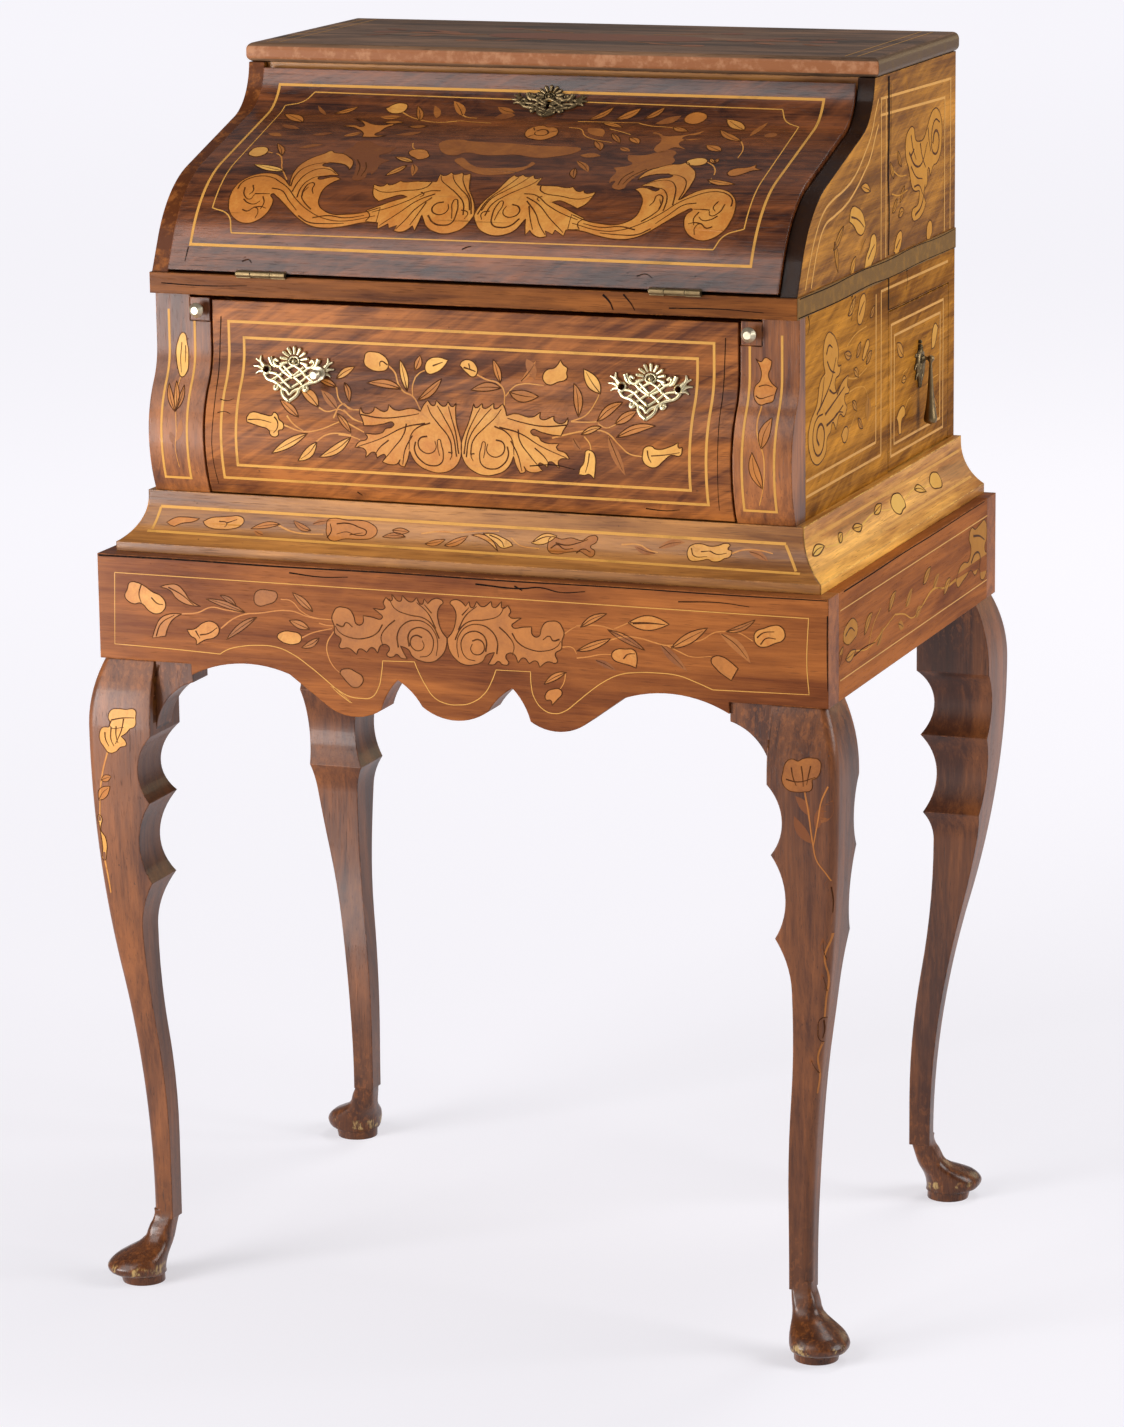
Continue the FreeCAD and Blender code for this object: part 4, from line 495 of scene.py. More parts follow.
DRAWER_FLOWERS = """
cut 0.95: -198.5,782.5! -195,786.5 -183,785.5 -175.5,785 -173.5,787.5 -170,785.5 -168.5,782 -164.5,779 -164.5,774 \
-168.5,772.5 -168.5,769 -173,767 -176.5,769.5 -177,772 -187,775.5 -194.5,777.5 -198,778.5!
line 0.5: -173,784 -169.5,779.5 -170,774 -173,770.5
line 0.4: -197,780.5 -187,781 -175.5,779
stem 0.8: -163.5,777.5 -147,773 -133,774.5 -113,782.5
leaf 0.55 6.5: -150.5,784.5 -169.5,798
leaf 0.75 8.5: -133,793.5 -153.5,808
leaf 0.3 7: -115.5,792.5 -133,807
leaf 0.8 6.5: -121.5,816.5 -105.5,827
leaf 0.5 5: -120,810 -138,815.5
stem 0.7: -133,793.5 -125.5,790.5 -113,792.5 -100,785
stem 0.7: -120,810 -114.5,799.5 -100,792.5
stem 0.8: -161.5,785.5 -154.5,778.5 -145.5,773.5
leaf 0.75 7.5: -141.5,771.5 -175.5,752.5
leaf 0.7 8: -133,764.5 -151.5,747
leaf 0.7 7.5: -101.5,770.5 -131.5,751.5
stem 0.8: -133.5,765 -124.5,771 -113,773 -101.5,772
leaf 0.45 5: -113.5,814 -105.5,798.5
leaf 0.4 5: -115.5,789.5 -101.5,774
stem 0.8: -118.5,785.5 -111.5,797 -104.5,793.5 -95.5,793
stem 0.8: -110,792.5 -100,785.5 -91.5,783
stem 0.8: -110,784 -98.5,779 -89.5,775
stem 0.7: -113,772 -101.5,771 -93,768.5
cut 0.9: -97,834.5 -95,839.5 -88.5,840.5 -81.5,839 -75,832.5 -75.5,827 -80.5,824.5 -93,826.5 -97,830.5
line 0.5: -75.5,830 -82,832.5 -82.5,828.5
stem 0.8: -75,829.5 -68.5,824 -64.5,815.5 -58.5,809.5 -48.5,805.5 -40,795.5
leaf 0.75 6.5: -55,809.5 -64.5,835
leaf 0.4 6.5: -60.5,811 -93,814.5
leaf 0.6 6.5: -50.5,826.5 -46,839.5
stem 0.7: -49.5,821 -51,814 -49,805.5
stem 0.7: -49.5,821 -45.5,825 -41,827
cut 0.95: -41.5,829.5 -38.5,836 -30,838.5 -20.5,836.5! -24.5,830.5 -31.5,825.5 -38.5,824.5
line 0.5: -34.5,831 -25.5,834.5
leaf 0.5 7: -44,803 -25.5,821
cut 0.95: -10,832.5! -8,836 -1.5,837.5 4.5,833.5 6,827 3,823.5 -3.5,826.5
line 0.6: -6.5,831 -0.5,829.5 4.5,828
line 0.5: -2,834.5 -0.5,829.5
stem 0.8: 6,825.5 14.5,822 25.5,819.5 31.5,814 34.5,802.5
leaf 0.6 6: 27.5,819.5 20,839
leaf 0.45 7: 29,815.5 2,813
stem 0.7: 34,809.5 40,817 45.5,819.5 66.5,819.5
leaf 0.3 4.5: 45,821 58.5,839.5
leaf 0.12 8.5: 50,841 58,823.5
leaf 0.4 9: 36.5,813 63.5,810.5
cut 0.85: 65,827 68,832 75.5,834.5 80.5,841! 83,837 86.5,834.5 86,830.5 86.5,826 78.5,822.5 71.5,820 66.5,822.5
leaf 0.85 10.5: 117.5,815 101,834.5
leaf 0.55 7.5: 101.5,796.5 93,822.5
stem 0.7: 95.5,792.5 108.5,798.5 115,809.5 116.5,814.5
stem 0.7: 95.5,792.5 107,792.5 120,793.5
leaf 0.5 7.5: 118.5,793.5 138.5,809.5
leaf 0.55 7.5: 134.5,792.5 152.5,803.5
stem 0.6: 119.5,792 127,789 135.5,792
leaf 0.6 5: 105.5,782.5 123,789.5
stem 0.8: 80,778.5 94.5,782.5 108.5,785.5 127,785.5 140,775.5 148.5,769 160.5,767
leaf 0.6 7: 136.5,781.5 170.5,792.5
leaf 0.3 7.5: 129.5,783 145,750
cut 0.9: 160.5,769.5 162,774.5 168.5,776 171.5,774 185.5,777 191,780! 192,776 195,776.5! 193.5,769.5 185.5,769.5 \
178.5,764 171.5,758.5 164.5,759.5 160.5,764
line 0.5: 164.5,772.5 165.5,767 168,762.5
line 0.4: 168,768 180,769.5 193,772
cut 0.85: 110.5,769.5 115.5,769.5 118.5,765.5 118.5,755.5 117,745.5! 113,749.5 108.5,748.5 103.5,749! 105,754.5 \
108,758.5 109.5,765.5
line 0.4: 113.5,767.5 112,758.5 109.5,751
stem 0.7: 108.5,781 113.5,775.5 115,769.5
leaf 0.25 5: 98.5,779.5 106.5,769.5
"""
STILE_LEFT = """
cut 0.95: -264.5,849.5 -261.5,841 -260,827 -261,814.5 -264.5,812 -268.5,817 -271.5,827 -272,835.5 -270,842.5 \
-267,848.5
line 0.4: -266.5,841 -267.5,827 -265.5,815.5
line 0.4: -263,838.5 -263,824
leaf 0.5 5: -265.5,783.5 -275,807
leaf 0.6 5: -265,784 -268.5,809
leaf 0.45 4.5: -264.5,785.5 -260.5,806
stem 0.6: -265.5,812 -266.5,798.5 -265,783.5
leaf 0.2 5.5: -264.5,758.5 -259.5,778.5
leaf 0.2 5.5: -265,755.5 -270,767
stem 0.5: -265,783.5 -264,767 -265.5,752.5 -263.5,735.5
"""
STILE_RIGHT = """
cut 0.55: 252,850! 256.5,847.5 260.5,851 266,848.5! 265,842.5 263,837 265.5,831 271,826.5! 269.5,821 268.5,816 \
263,814 258.5,812.5 253.5,815.5 251.5,819.5 252,827 255.5,831 257,837 255.5,844
line 0.5: 255,827 261.5,828.5 267,827
line 0.5: 253,819.5 257,817.5 263,819 268.5,821
stem 0.8: 259.5,812 258,798.5 260.5,785.5 265,775.5 266.5,762.5 264.5,744 260.5,730.5
leaf 0.5 9.5: 263.5,778.5 270,803.5
leaf 0.45 9: 264.5,745 255.5,775.5
"""
APRON_ACANTHUS = """
cut 0.55: -6.5,608! -11,613.5 -14,622 -14.5,630.5 -12,635.5 -9.5,638.5 -13.5,641.5 -19,640.5 -23.5,636.5! \
-26.5,640.5! -29,635.5 -33.5,641! -38.5,637 -46.5,642! -48.5,637 -56,642.5! -56.5,637 -61.5,639.5! -64,634.5 \
-62.5,630.5 -73.5,629.5! -68.5,626 -65,622 -76,622 -82.5,622.5! -83.5,615.5 -88.5,614.5 -91.5,622 -95,627 \
-100,628.5 -106.5,628 -110,623.5 -111.5,618.5 -109.5,612 -109,605.5 -103.5,601 -105,593.5 -96.5,593.5 -89.5,588.5! \
-86.5,593.5 -80,591! -75,595.5 -70,591! -66.5,598 -61.5,598.5 -59,595.5 -61.5,589.5 -56,588.5 -52.5,591 -48.5,588 \
-43,587.5! -46.5,593.5 -49,598.5! -41.5,595.5 -38.5,590.5 -30,586.5 -20,586.5 -13.5,590.5 -8.5,597 -6.5,604.5!
line 0.55: -29,607 -35,608.5 -39.5,604.5 -38.5,598 -31.5,595.5 -27.5,599.5 -29,604.5
line 0.55: -41,598.5 -41.5,608.5 -36,614.5 -26.5,614.5 -20,608.5 -19,600.5 -23.5,592 -31.5,590
line 0.5: -51,597 -51.5,608.5 -45,618 -35,621.5 -25,619.5 -17.5,612 -15,603.5 -16.5,592
line 0.5: -13.5,607 -18.5,617 -26.5,623.5 -41.5,626 -53.5,630.5 -58.5,638.5
line 0.5: -20,628.5 -26.5,635.5
line 0.5: -65,616 -70,608.5 -81.5,603 -93.5,602.5 -105,607 -108.5,612
line 0.6: -107.5,613.5 -101.5,612 -98.5,615.5 -92.5,612
line 0.5: -53.5,620.5 -61.5,613.5 -66.5,605.5 -65,597
line 0.5: -16.5,615.5 -23.5,628.5 -33.5,637
"""
APRON_FLOWERS = """
cut 0.7: -305,626 -302.5,632 -300,638 -293.5,638.5 -286.5,636 -278.5,631 -271,628 -266.5,621 -268.5,615.5 -275,612 \
-281.5,613.5 -290,620.5 -296.5,619.5 -302.5,622
line 0.5: -289,637 -291.5,628.5 -289.5,620.5
line 0.5: -280,626 -274,621 -269,620.5
cut 0.55: -271.5,636! -263.5,638.5 -255,638.5 -248.5,633 -243.5,626 -233.5,621! -246.5,622 -256.5,627 -261.5,633
line 0.5: -263.5,636 -251.5,630.5 -240,622
cut 0.5: -280,590.5! -276.5,600.5 -271.5,608.5 -263.5,612.5 -251.5,613.5! -260,608 -265,600.5 -267.5,593!
line 0.5: -276.5,592 -271.5,603.5 -258.5,612
stem 0.7: -251.5,613.5 -236.5,615.5 -223.5,621 -210,619.5 -191.5,618
leaf 0.4 5.5: -191.5,618 -228.5,628
leaf 0.35 4.5: -200,623 -215,632
cut 0.75: -247,600! -240,601 -231.5,607 -223.5,608.5 -217.5,604.5 -217,599.5 -221.5,594.5 -230,592 -238.5,587! \
-239,592 -243.5,594.5
line 0.5: -239,599.5 -235,593
line 0.5: -235,596 -226.5,598 -218.5,603.5
stem 0.7: -215,603 -203.5,612 -191.5,617 -180,618.5 -150,622.5 -131.5,618 -111.5,617
leaf 0.4 6: -181,615 -210,593.5
cut 0.35: -183,633.5 -180,638 -168.5,639 -162,637 -163,631 -170,627 -181.5,626
stem 0.6: -158.5,632 -148.5,631 -140,623 -130,618.5 -110,617
leaf 0.35 6.5: -129,623 -147.5,638.5
cut 0.7: -162.5,599.5 -158.5,603.5 -149,604.5 -141,602 -140.5,597 -146.5,593.5 -153.5,593.5 -160,596
stem 0.7: -140,599.5 -130,604.5 -111.5,609.5
leaf 0.35 5.5: -123.5,600.5 -140,591
leaf 0.55 7: -132.5,607.5 -151,614
cut 0.45: -105,572 -98.5,575.5 -90,573 -84,568.5 -86,562 -92.5,559.5 -98.5,563.5 -102.5,568
stem 0.6: -110,607 -116.5,595.5 -115,583.5 -110,575.5 -104.5,571
stem 0.6: -123.5,613.5 -116.5,612 -110,612
leaf 0.5 5.5: 100.5,585.5 80.5,574
cut 0.5: 82.5,567 88.5,570.5 95,570.5 96.5,567 92.5,562 87.5,556.5! 86.5,560.5 82,561
stem 0.6: 100,585.5 98.5,577 95,571
stem 0.6: 96.5,607 106.5,607 110,602
stem 0.6: 99.5,618.5 104,622 110,625.5
leaf 0.6 12.5: 156,631.5 192,632.5
line 0.5: 160,631 173.5,632 188.5,632
stem 0.7: 143.5,625.5 150,628.5 156,631.5
leaf 0.5 5.5: 113.5,625 137,638
stem 0.7: 110,626 128.5,627.5 140,625.5 151.5,620.5
leaf 0.35 6: 137.5,624.5 170.5,609
stem 0.7: 138.5,615.5 153.5,619.5 166.5,619 180,616 190,614.5 210,618.5 220,621 231.5,628 240,629.5 251.5,629.5 \
265,623
leaf 0.5 6: 110,604.5 140.5,617
cut 0.6: 141,603.5 145,608 153.5,609 161,608.5 163.5,602 162.5,593.5! 156.5,595.5 148.5,597 142.5,599.5
line 0.5: 151.5,600.5 155,604.5 161.5,605.5
stem 0.7: 110,598.5 121.5,600.5 131.5,603 141,603.5
leaf 0.25 5: 126,598 145,590
leaf 0.3 7.5: 183.5,615.5 207.5,594
leaf 0.5 8.5: 193.5,612.5 225.5,631.5
cut 0.8: 266,625.5 267.5,631 275,634.5 281.5,637 288.5,637 292.5,632 291.5,626 283.5,622 275,618.5 269,619.5
line 0.5: 268.5,626 274,630.5 283.5,632
line 0.5: 271.5,620.5 276.5,626 285,626
stem 0.6: 190,614.5 201.5,609.5 210,606.5 229,607.5
cut 0.55: 228.5,604.5 231.5,608 238.5,608 245,604.5 252,599! 250,595.5 246,588.5! 240,592 233.5,597
leaf 0.3 8.5: 236,628 263,604
leaf 0.35 5: 241.5,629.5 267,641
"""
APRON_STRING = """
string: -314,646! -316,583! -263.5,582 -216.5,580.5! -210,584.5 -196.5,588.5 -180,590.5 -163.5,590 -150,585.5 \
-133.5,575.5 -110,558 -110,558 -98.5,552 -86.5,550.5 -76.5,552 -70,560.5 -66.5,575.5 -65.5,584.5! -36.5,585.5! \
-33.5,578.5 -26.5,565.5 -18.5,555.5 -6.5,551 3.5,551 13.5,553 26.5,562 33.5,573.5 37.5,583.5! 68.5,584! 69,572 \
71.5,562 80,552 90,549.5 98.5,552 110,561 120,569.5 135,580.5 148.5,587 161.5,589.5 180,590.5 200,589.5 \
213.5,585.5 230,579.5! 313.5,581! 311.5,605.5 313,645.5!
"""
MOULDING_FLOWERS = """
cut 0.5: -278,485! -270.5,489.5 -262.5,490.5 -247.5,490! -252.5,487 -264,484.5 -270,481.5! -274,482.5
cut 0.8: -244,487.5! -237.5,491 -227.5,492.5 -219,493.5 -210.5,494 -206,491 -208,486 -215.5,482.5 -225.5,481.5 \
-235.5,482 -241.5,484.5
line 0.5: -229,488.5 -221.5,487 -223,483.5
line 0.5: -221.5,487.5 -212.5,491
leaf 0.4 5.5: -171.5,489 -198.5,483.5
leaf 0.3 5: -185.5,478.5 -195.5,482.5
stem 0.9: -174,488.5 -160.5,483.5 -145.5,482 -130.5,482.5
leaf 0.35 5.5: -142.5,485 -160,493
leaf 0.3 5: -142.5,491 -125.5,495
cut 0.45: -128.5,495 -123.5,497 -110,496 -98.5,496.5 -88.5,494.5 -82,488.5 -85,482.5 -95,480 -110,479.5 -121.5,477 \
-127.5,482.5 -129,489.5
line 0.6: -120,492.5 -110,493.5 -100,491 -91.5,486 -100,483.5 -110,486 -118.5,483.5
line 0.6: -126.5,479.5 -124,486 -126,492.5
line 0.5: -106.5,483.5 -95,486
leaf 0.4 5.5: -68.5,490 -52.5,489.5
leaf 0.4 5: -55,484.5 -76.5,483.5
stem 0.8: -41.5,488.5 -26.5,491 -6.5,491.5 10,493.5 28.5,494.5
leaf 0.4 6.5: -19,479 1,489
leaf 0.35 5.5: -36.5,479.5 -19,484.5
cut 0.6: 3.5,490! 10,488.5 20,484.5 30.5,476.5! 23.5,486 13.5,491
cut 0.75: 14,492! 23.5,492 31.5,489.5 40,485.5 42.5,482.5! 33.5,480 26.5,484.5 20,488.5
line 0.5: 20,491 31.5,486 35,481
cut 0.7: 58.5,486! 65,492.5 71.5,495 80.5,493.5! 75,488.5 66.5,485
line 0.5: 60,487 70,492 76.5,492.5
stem 0.7: 40,489.5 48.5,483.5 66.5,481.5
cut 0.4: 73.5,487.5 75,492 85,491 93.5,492.5 103.5,491 110,495 116.5,494.5 116,490 111.5,486 116,482 115,477 \
108.5,478.5 103.5,481 93.5,480 81.5,477.5 75,480
line 0.6: 80,487.5 90,486 100,488.5 108.5,492
line 0.6: 76.5,482.5 81.5,486 88.5,482.5 96.5,483.5
line 0.6: 100,479.5 105,483.5 112.5,481
leaf 0.3 6: 171,488 194,494.5
stem 0.8: 138.5,489.5 155,490 163.5,486 171.5,484.5
leaf 0.25 6.5: 170,483.5 150,488.5
cut 0.85: 197.5,489.5 200,492.5 208.5,494 216.5,492.5 223.5,493.5 229,495.5 233.5,494.5 232,491 235.5,489.5 \
234.5,484.5 230,482.5 226.5,480 220,479.5 216.5,481 210,479.5 201.5,479 198,482.5
line 0.5: 200,490 203.5,483.5 215,483.5
line 0.5: 216.5,488.5 223.5,486 231.5,487.5
line 0.5: 209,487.5 216.5,488.5
stem 0.8: 236,487.5 245,491 260,491.5 271.5,489.5
leaf 0.3 6: 250,490 268.5,482.5
"""
SIDE_UPPER = """
cut 0.6: 97,998.5 105.5,1005.5 120.5,1005.5 125.5,995.5 138.5,992 152,993.5 158.5,998.5 168.5,1008.5 182,1015.5 \
195.5,1013.5 205.5,1003.5 207,988.5 203.5,975.5 192,967 180.5,965.5 172,958! 165.5,965.5 162,952 152,945.5 \
158.5,935.5! 150.5,928.5 128.5,923.5 118.5,925.5 115.5,932 135.5,938.5 138.5,948.5! 118.5,952 110.5,962 105.5,972 \
97,982
line 0.9: 178.5,985.5 185.5,995.5 197,990.5 195.5,978.5 185.5,975.5 175.5,982 175.5,995.5 185.5,1005.5 200.5,1002
line 0.8: 107,985.5 125.5,972 145.5,972 162,988.5
line 0.9: 112,982 122,987
line 0.8: 125.5,928.5 145.5,935.5 155.5,952
cut 0.8: -23,902! -19.5,910.5 -9.5,918.5 -3,927 8.5,925.5 10.5,915.5 2,905.5 -11.5,900.5!
line 0.6: -13,908.5 -1.5,915.5 5.5,918.5
cut 0.7: 62,904.5! 68.5,915.5 78.5,920.5 85.5,918.5 83.5,908.5 72,902
line 0.6: 68.5,907 80.5,913.5
cut 0.7: 160.5,908.5 165.5,917 175.5,917 178,908.5 170.5,902 162.5,902.5
cut 0.75: -66.5,947! -61.5,957 -41.5,955.5 -28,948.5 -20.5,938! -28,932 -41.5,933.5 -54.5,942
line 0.6: -61.5,950.5 -41.5,945.5 -24.5,937
leaf 0.6 8: -6.5,965.5 -34.5,972.5
leaf 0.5 8.5: -108,935.5 -98,908.5
leaf 0.5 8: 75.5,933.5 92,937
leaf 0.4 8: -81.5,945.5 -111.5,928.5
stem 0.8: 58.5,975.5 78.5,968.5 98.5,967
line 0.7: 112,1000 118,988 128,977
line 0.7: 140,990 147,977 157,967
line 0.7: 164,1001 167,990 173,979
line 0.6: 112,973 128,962 147,958
line 0.6: 122,954 138,953 149,944
leaf 0.35 7: 62,968 50,984
leaf 0.35 7: 72,950 57,939
leaf 0.4 7: 84,976 73,991
leaf 0.35 7: 94,958 80,945
leaf 0.3 7: -20,927 -36,915
stem 0.8: 55.5,955.5 75.5,952 102,953.5
leaf 0.5 10: -64.5,900.5 -48,915.5
"""
SIDE_OGEE = """
string: -189.5,902! -178,922 -158,948.5 -138,963.5 -114.5,970.5 -81.5,975.5 -51.5,983.5 -21.5,1000.5 -4.5,1013.5 \
8.5,1032 16,1041.5!
string: -173,902! -164.5,918.5 -151.5,938.5 -134.5,952 -108,957 -78,962 -51.5,970.5 -28,982 -8,993.5 5.5,1008.5 \
16,1020!
"""
SIDE_LOWER = """
cut 0.65: -180,780.5 -173.5,794 -156.5,805.5 -146.5,824 -133.5,829! -138.5,840.5 -136.5,854 -126.5,861.5 \
-113.5,859 -101.5,850.5 -96.5,840.5 -98.5,830.5 -89.5,829! -93.5,822.5 -106.5,817.5 -100,805.5! -86.5,814 \
-69.5,817.5! -71.5,809 -66.5,804 -80,800.5 -72.5,790.5! -80,784 -93.5,787.5 -103.5,776.5! -113.5,784 -118.5,777.5 \
-128.5,772.5 -130,764 -146.5,755.5 -163.5,757.5 -175,767.5
line 0.9: -150,770.5 -156.5,779 -150,787.5 -138.5,784 -136.5,772.5 -148.5,762.5 -163.5,769 -166.5,784 -156.5,794 \
-140,795.5
line 0.8: -156.5,797.5 -136.5,807.5 -116.5,820.5 -103.5,837.5
line 0.8: -133.5,794 -110,800.5 -80,809
line 0.8: -130,784 -106.5,787.5 -83.5,794
line 0.8: -130,844 -123.5,850.5 -113.5,847.5
cut 0.8: -43.5,860.5 -40,870.5 -33.5,879 -21.5,879 -20,870.5 -26.5,860.5 -36.5,855.5
line 0.6: -38.5,864 -30,870.5 -23.5,874
leaf 0.6 8: -70,868 -48.5,881.5
cut 0.75: -30,825! -23.5,834 -13.5,839.5 -9.5,836.5 -16.5,829 -26.5,823.5
leaf 0.5 7.5: -18.5,819 -1.5,828
cut 0.7: -88.5,769! -80,774 -70,771.5 -71.5,764.5 -81.5,761.5
leaf 0.3 16.5: -13.5,790.5 -13.5,769
stem 0.9: -73.5,842.5 -50,849 -16.5,851.5
line 0.7: -128,838 -118,829 -106,825
line 0.7: -122,813 -108,808 -92,812
line 0.6: -148,800 -141,812 -136,826
line 0.6: -112,786 -98,790 -84,788
leaf 0.35 7: -54,820 -40,811
leaf 0.35 7: -58,793 -45,783
leaf 0.4 7: -42,776 -28,765
leaf 0.35 7: -8,858 6,866
stem 0.9: -73.5,815.5 -46.5,811.5 -16.5,815.5
stem 0.8: -66.5,802.5 -40,802.5 -18.5,796.5 -13.5,784
leaf 0.5 7.5: -60,832.5 -80,837.5
leaf 0.4 8.5: -46.5,829 -33.5,840.5
stem 0.7: -71.5,767.5 -56.5,775.5 -50,780.5
"""
SIDE_DRAWER = """
leaf 0.5 11.5: 91.5,809 71.5,823.5
cut 0.75: 178.5,802.5! 179.5,815.5 188.5,824 197.5,819.5! 191.5,809 186.5,803.5
cut 0.8: 71.5,757.5! 81.5,764 93.5,764.5 97.5,758 86.5,752.5 85.5,741.5! 78.5,742.5 76.5,751.5
leaf 0.45 10.5: 176.5,759 196.5,748
stem 0.8: 93.5,759 105,767.5 115,769
stem 0.8: 103.5,796.5 90,794
stem 0.8: 156.5,795.5 168.5,796.5
stem 0.8: 163.5,772.5 180,775.5 200,776.5
leaf 0.4 6.5: 100,787.5 86.5,787.5
"""
SIDE_APRON = """
cut 0.4: 123.5,602 130,612 146.5,617 163.5,615.5 170,625.5 163.5,635.5 170,643.5 183.5,640.5 196.5,642 216.5,642 \
220,625.5 213.5,618.5 223.5,608.5 221.5,595.5 203.5,590.5 196.5,602 183.5,598.5 170,605.5 150,602
line 0.9: 170,612 183.5,618.5 200,612 196.5,602
line 0.8: 176.5,635.5 196.5,632 213.5,625.5
leaf 0.5 8: -225,598.5 -209.5,614.5
leaf 0.6 8.5: -203.5,602 -175,604.5
leaf 0.3 8: -116.5,595.5 -96.5,608.5
leaf 0.3 8.5: -3.5,597 16.5,602.5
stem 0.8: -63.5,612 -36.5,607 -10,598.5 16.5,603.5
stem 0.7: -175,603.5 -140,598.5 -96.5,605.5 -63.5,612
leaf 0.35 9: -152,612 -128,627
leaf 0.35 9: -82,618 -60,632
leaf 0.3 9: -32,612 -12,625
leaf 0.35 9: 20,622 44,633
leaf 0.35 9: 84,600 106,611
stem 0.8: 16,603 50,611 90,606 123,607
stem 0.7: -140,598.5 -128,614 -104,626
cut 0.35: -210,622 -196,632 -176,630 -170,620 -184,614 -200,614
line 0.7: -204,622 -190,626 -178,621
leaf 0.25 8.5: 50,612 70,622
leaf 0.3 8: -53.5,602 -36.5,595.5
stem 0.7: 16.5,603.5 50,612 86.5,605.5 123.5,605.5
"""
SIDE_MOULDING = """
cut 0.75: 20,445.5 25,451.5 41.5,454 54.5,449 55,442.5 41.5,438.5 25,437.5
cut 0.6: 136.5,444 141.5,450.5 158.5,452.5 167.5,447.5 165,440.5 148.5,438.5
leaf 0.7 8: -205,445 -170,447
leaf 0.5 7.5: -91.5,447.5 -66.5,445.5
stem 0.8: -168.5,445.5 -135,442.5 -95,447
stem 0.8: -66.5,445.5 -28.5,449 18.5,444
stem 0.8: 55,445 91.5,449 135,444
leaf 0.4 7.5: -28.5,448.5 -1.5,452.5
leaf 0.4 7.5: 91.5,448.5 118.5,441.5
leaf 0.4 6.5: -135,442.5 -118.5,448.5
"""
LEG_LEFT = """
cut 0.8: -316.7,526.4 -309.6,528.0 -303.1,527.8 -294.1,527.9 -293.3,521.1 -294.1,513.8 -298.9,511.2! -303.3,506.5 \
-307.5,503.9! -303.6,499.8 -303.0,496.5 -309.0,493.8 -312.8,490.0 -320.0,488.5 -323.9,492.7 -328.0,499.1 \
-327.7,506.9 -325.1,510.5 -319.1,511.3! -317.9,515.4 -319.5,520.1
line 0.6: -316.8,511.1 -317.4,501.0 -314.7,494.5
line 0.6: -304.7,519.6 -307.0,509.5 -313.2,496.8
line 0.6: -312.0,512.5 -312.4,504.7 -310.8,497.7
line 0.6: -316.6,517.7 -305.9,520.2 -294.5,521.0
line 0.6: -322.9,506.6 -322.6,500.6 -319.5,494.2
line 0.5: -316.6,517.2 -317.9,512.1 -304.8,511.9
leaf 0.45 9: -331.7,444.9 -320.2,458.2
leaf 0.35 6: -328.4,463.3 -318.6,467.4
cut 0.75: -332.9,431.2 -330.2,430.3 -331.3,417.7 -327.3,411.2 -327.1,397.5 -330.4,390.2 -330.5,401.7 -331.4,413.1 \
-332.5,422.1
stem 0.9: -321.2,488.5 -326.2,472.4 -329.6,454.1 -331.4,431.3
stem 0.9: -329.3,390.4 -327.4,376.7 -325.8,360.6
line 1.0: -276.3,566.2 -280.0,550.8 -280.0,532.5 -280.0,511.2
"""
LEG_RIGHT = """
cut 0.5: 294.3,517.1 297.0,525.6 301.2,528.1 307.0,526.6! 311.2,529.1 318.4,530.2 325.6,528.5 326.7,521.4 \
324.0,514.6 319.4,512.0! 318.8,503.5 311.6,501.2 304.4,500.7 298.7,501.9 293.5,508.6
line 0.6: 301.4,521.2 303.0,513.0 305.9,505.9
line 0.6: 310.0,523.0 311.3,514.7 311.9,505.8
line 0.6: 318.1,523.6 316.5,516.0 314.8,507.4
line 0.6: 296.9,510.9 307.3,509.4 322.3,514.4
stem 0.8: 333.2,507.4 327.4,494.2 324.5,478.4 320.2,455.2
stem 0.8: 313.1,501.3 315.9,486.2 320.2,455.2 322.9,443.4 331.1,432.5 334.9,426.7
leaf 0.2 9: 319.1,457.4 303.7,480.2
leaf 0.15 8: 322.7,469.7 329.1,491.5
leaf 0.15 8: 317.3,480.7 305.0,497.3
leaf 0.2 10: 327.3,475.7 337.1,496.1
cut 0.3: 329.5,423.7 334.0,427.4 336.7,423.6! 338.5,423.3 337.8,413.3 336.9,399.2 336.4,393.7 334.0,394.5 \
331.4,404.1 332.7,415.2
line 0.5: 334.8,421.5 335.8,409.6 335.0,398.5
stem 0.9: 335.8,391.5 333.7,377.2 327.8,359.9 329.8,341.5 326.8,320.5 324.9,304.7
leaf 0.25 7: 329.2,356.2 326.7,376.9
leaf 0.2 6: 333.2,358.5 334.8,374.8
leaf 0.25 6: 328.1,328.0 324.5,344.9
cut 0.45: 322.6,304.1 326.3,304.0 324.9,291.2 323.6,282.4 320.8,283.4 319.4,293.4
line 0.5: 324.3,302.3 324.0,292.8 322.2,285.4
stem 0.8: 322.2,282.2 317.9,268.8 318.2,253.0 315.4,234.8
leaf 0.25 6: 318.2,253.0 311.2,267.0
leaf 0.2 5: 316.6,240.7 319.6,253.5
line 1.0: 280.8,564.6 280.8,542.2 280.4,516.1
"""
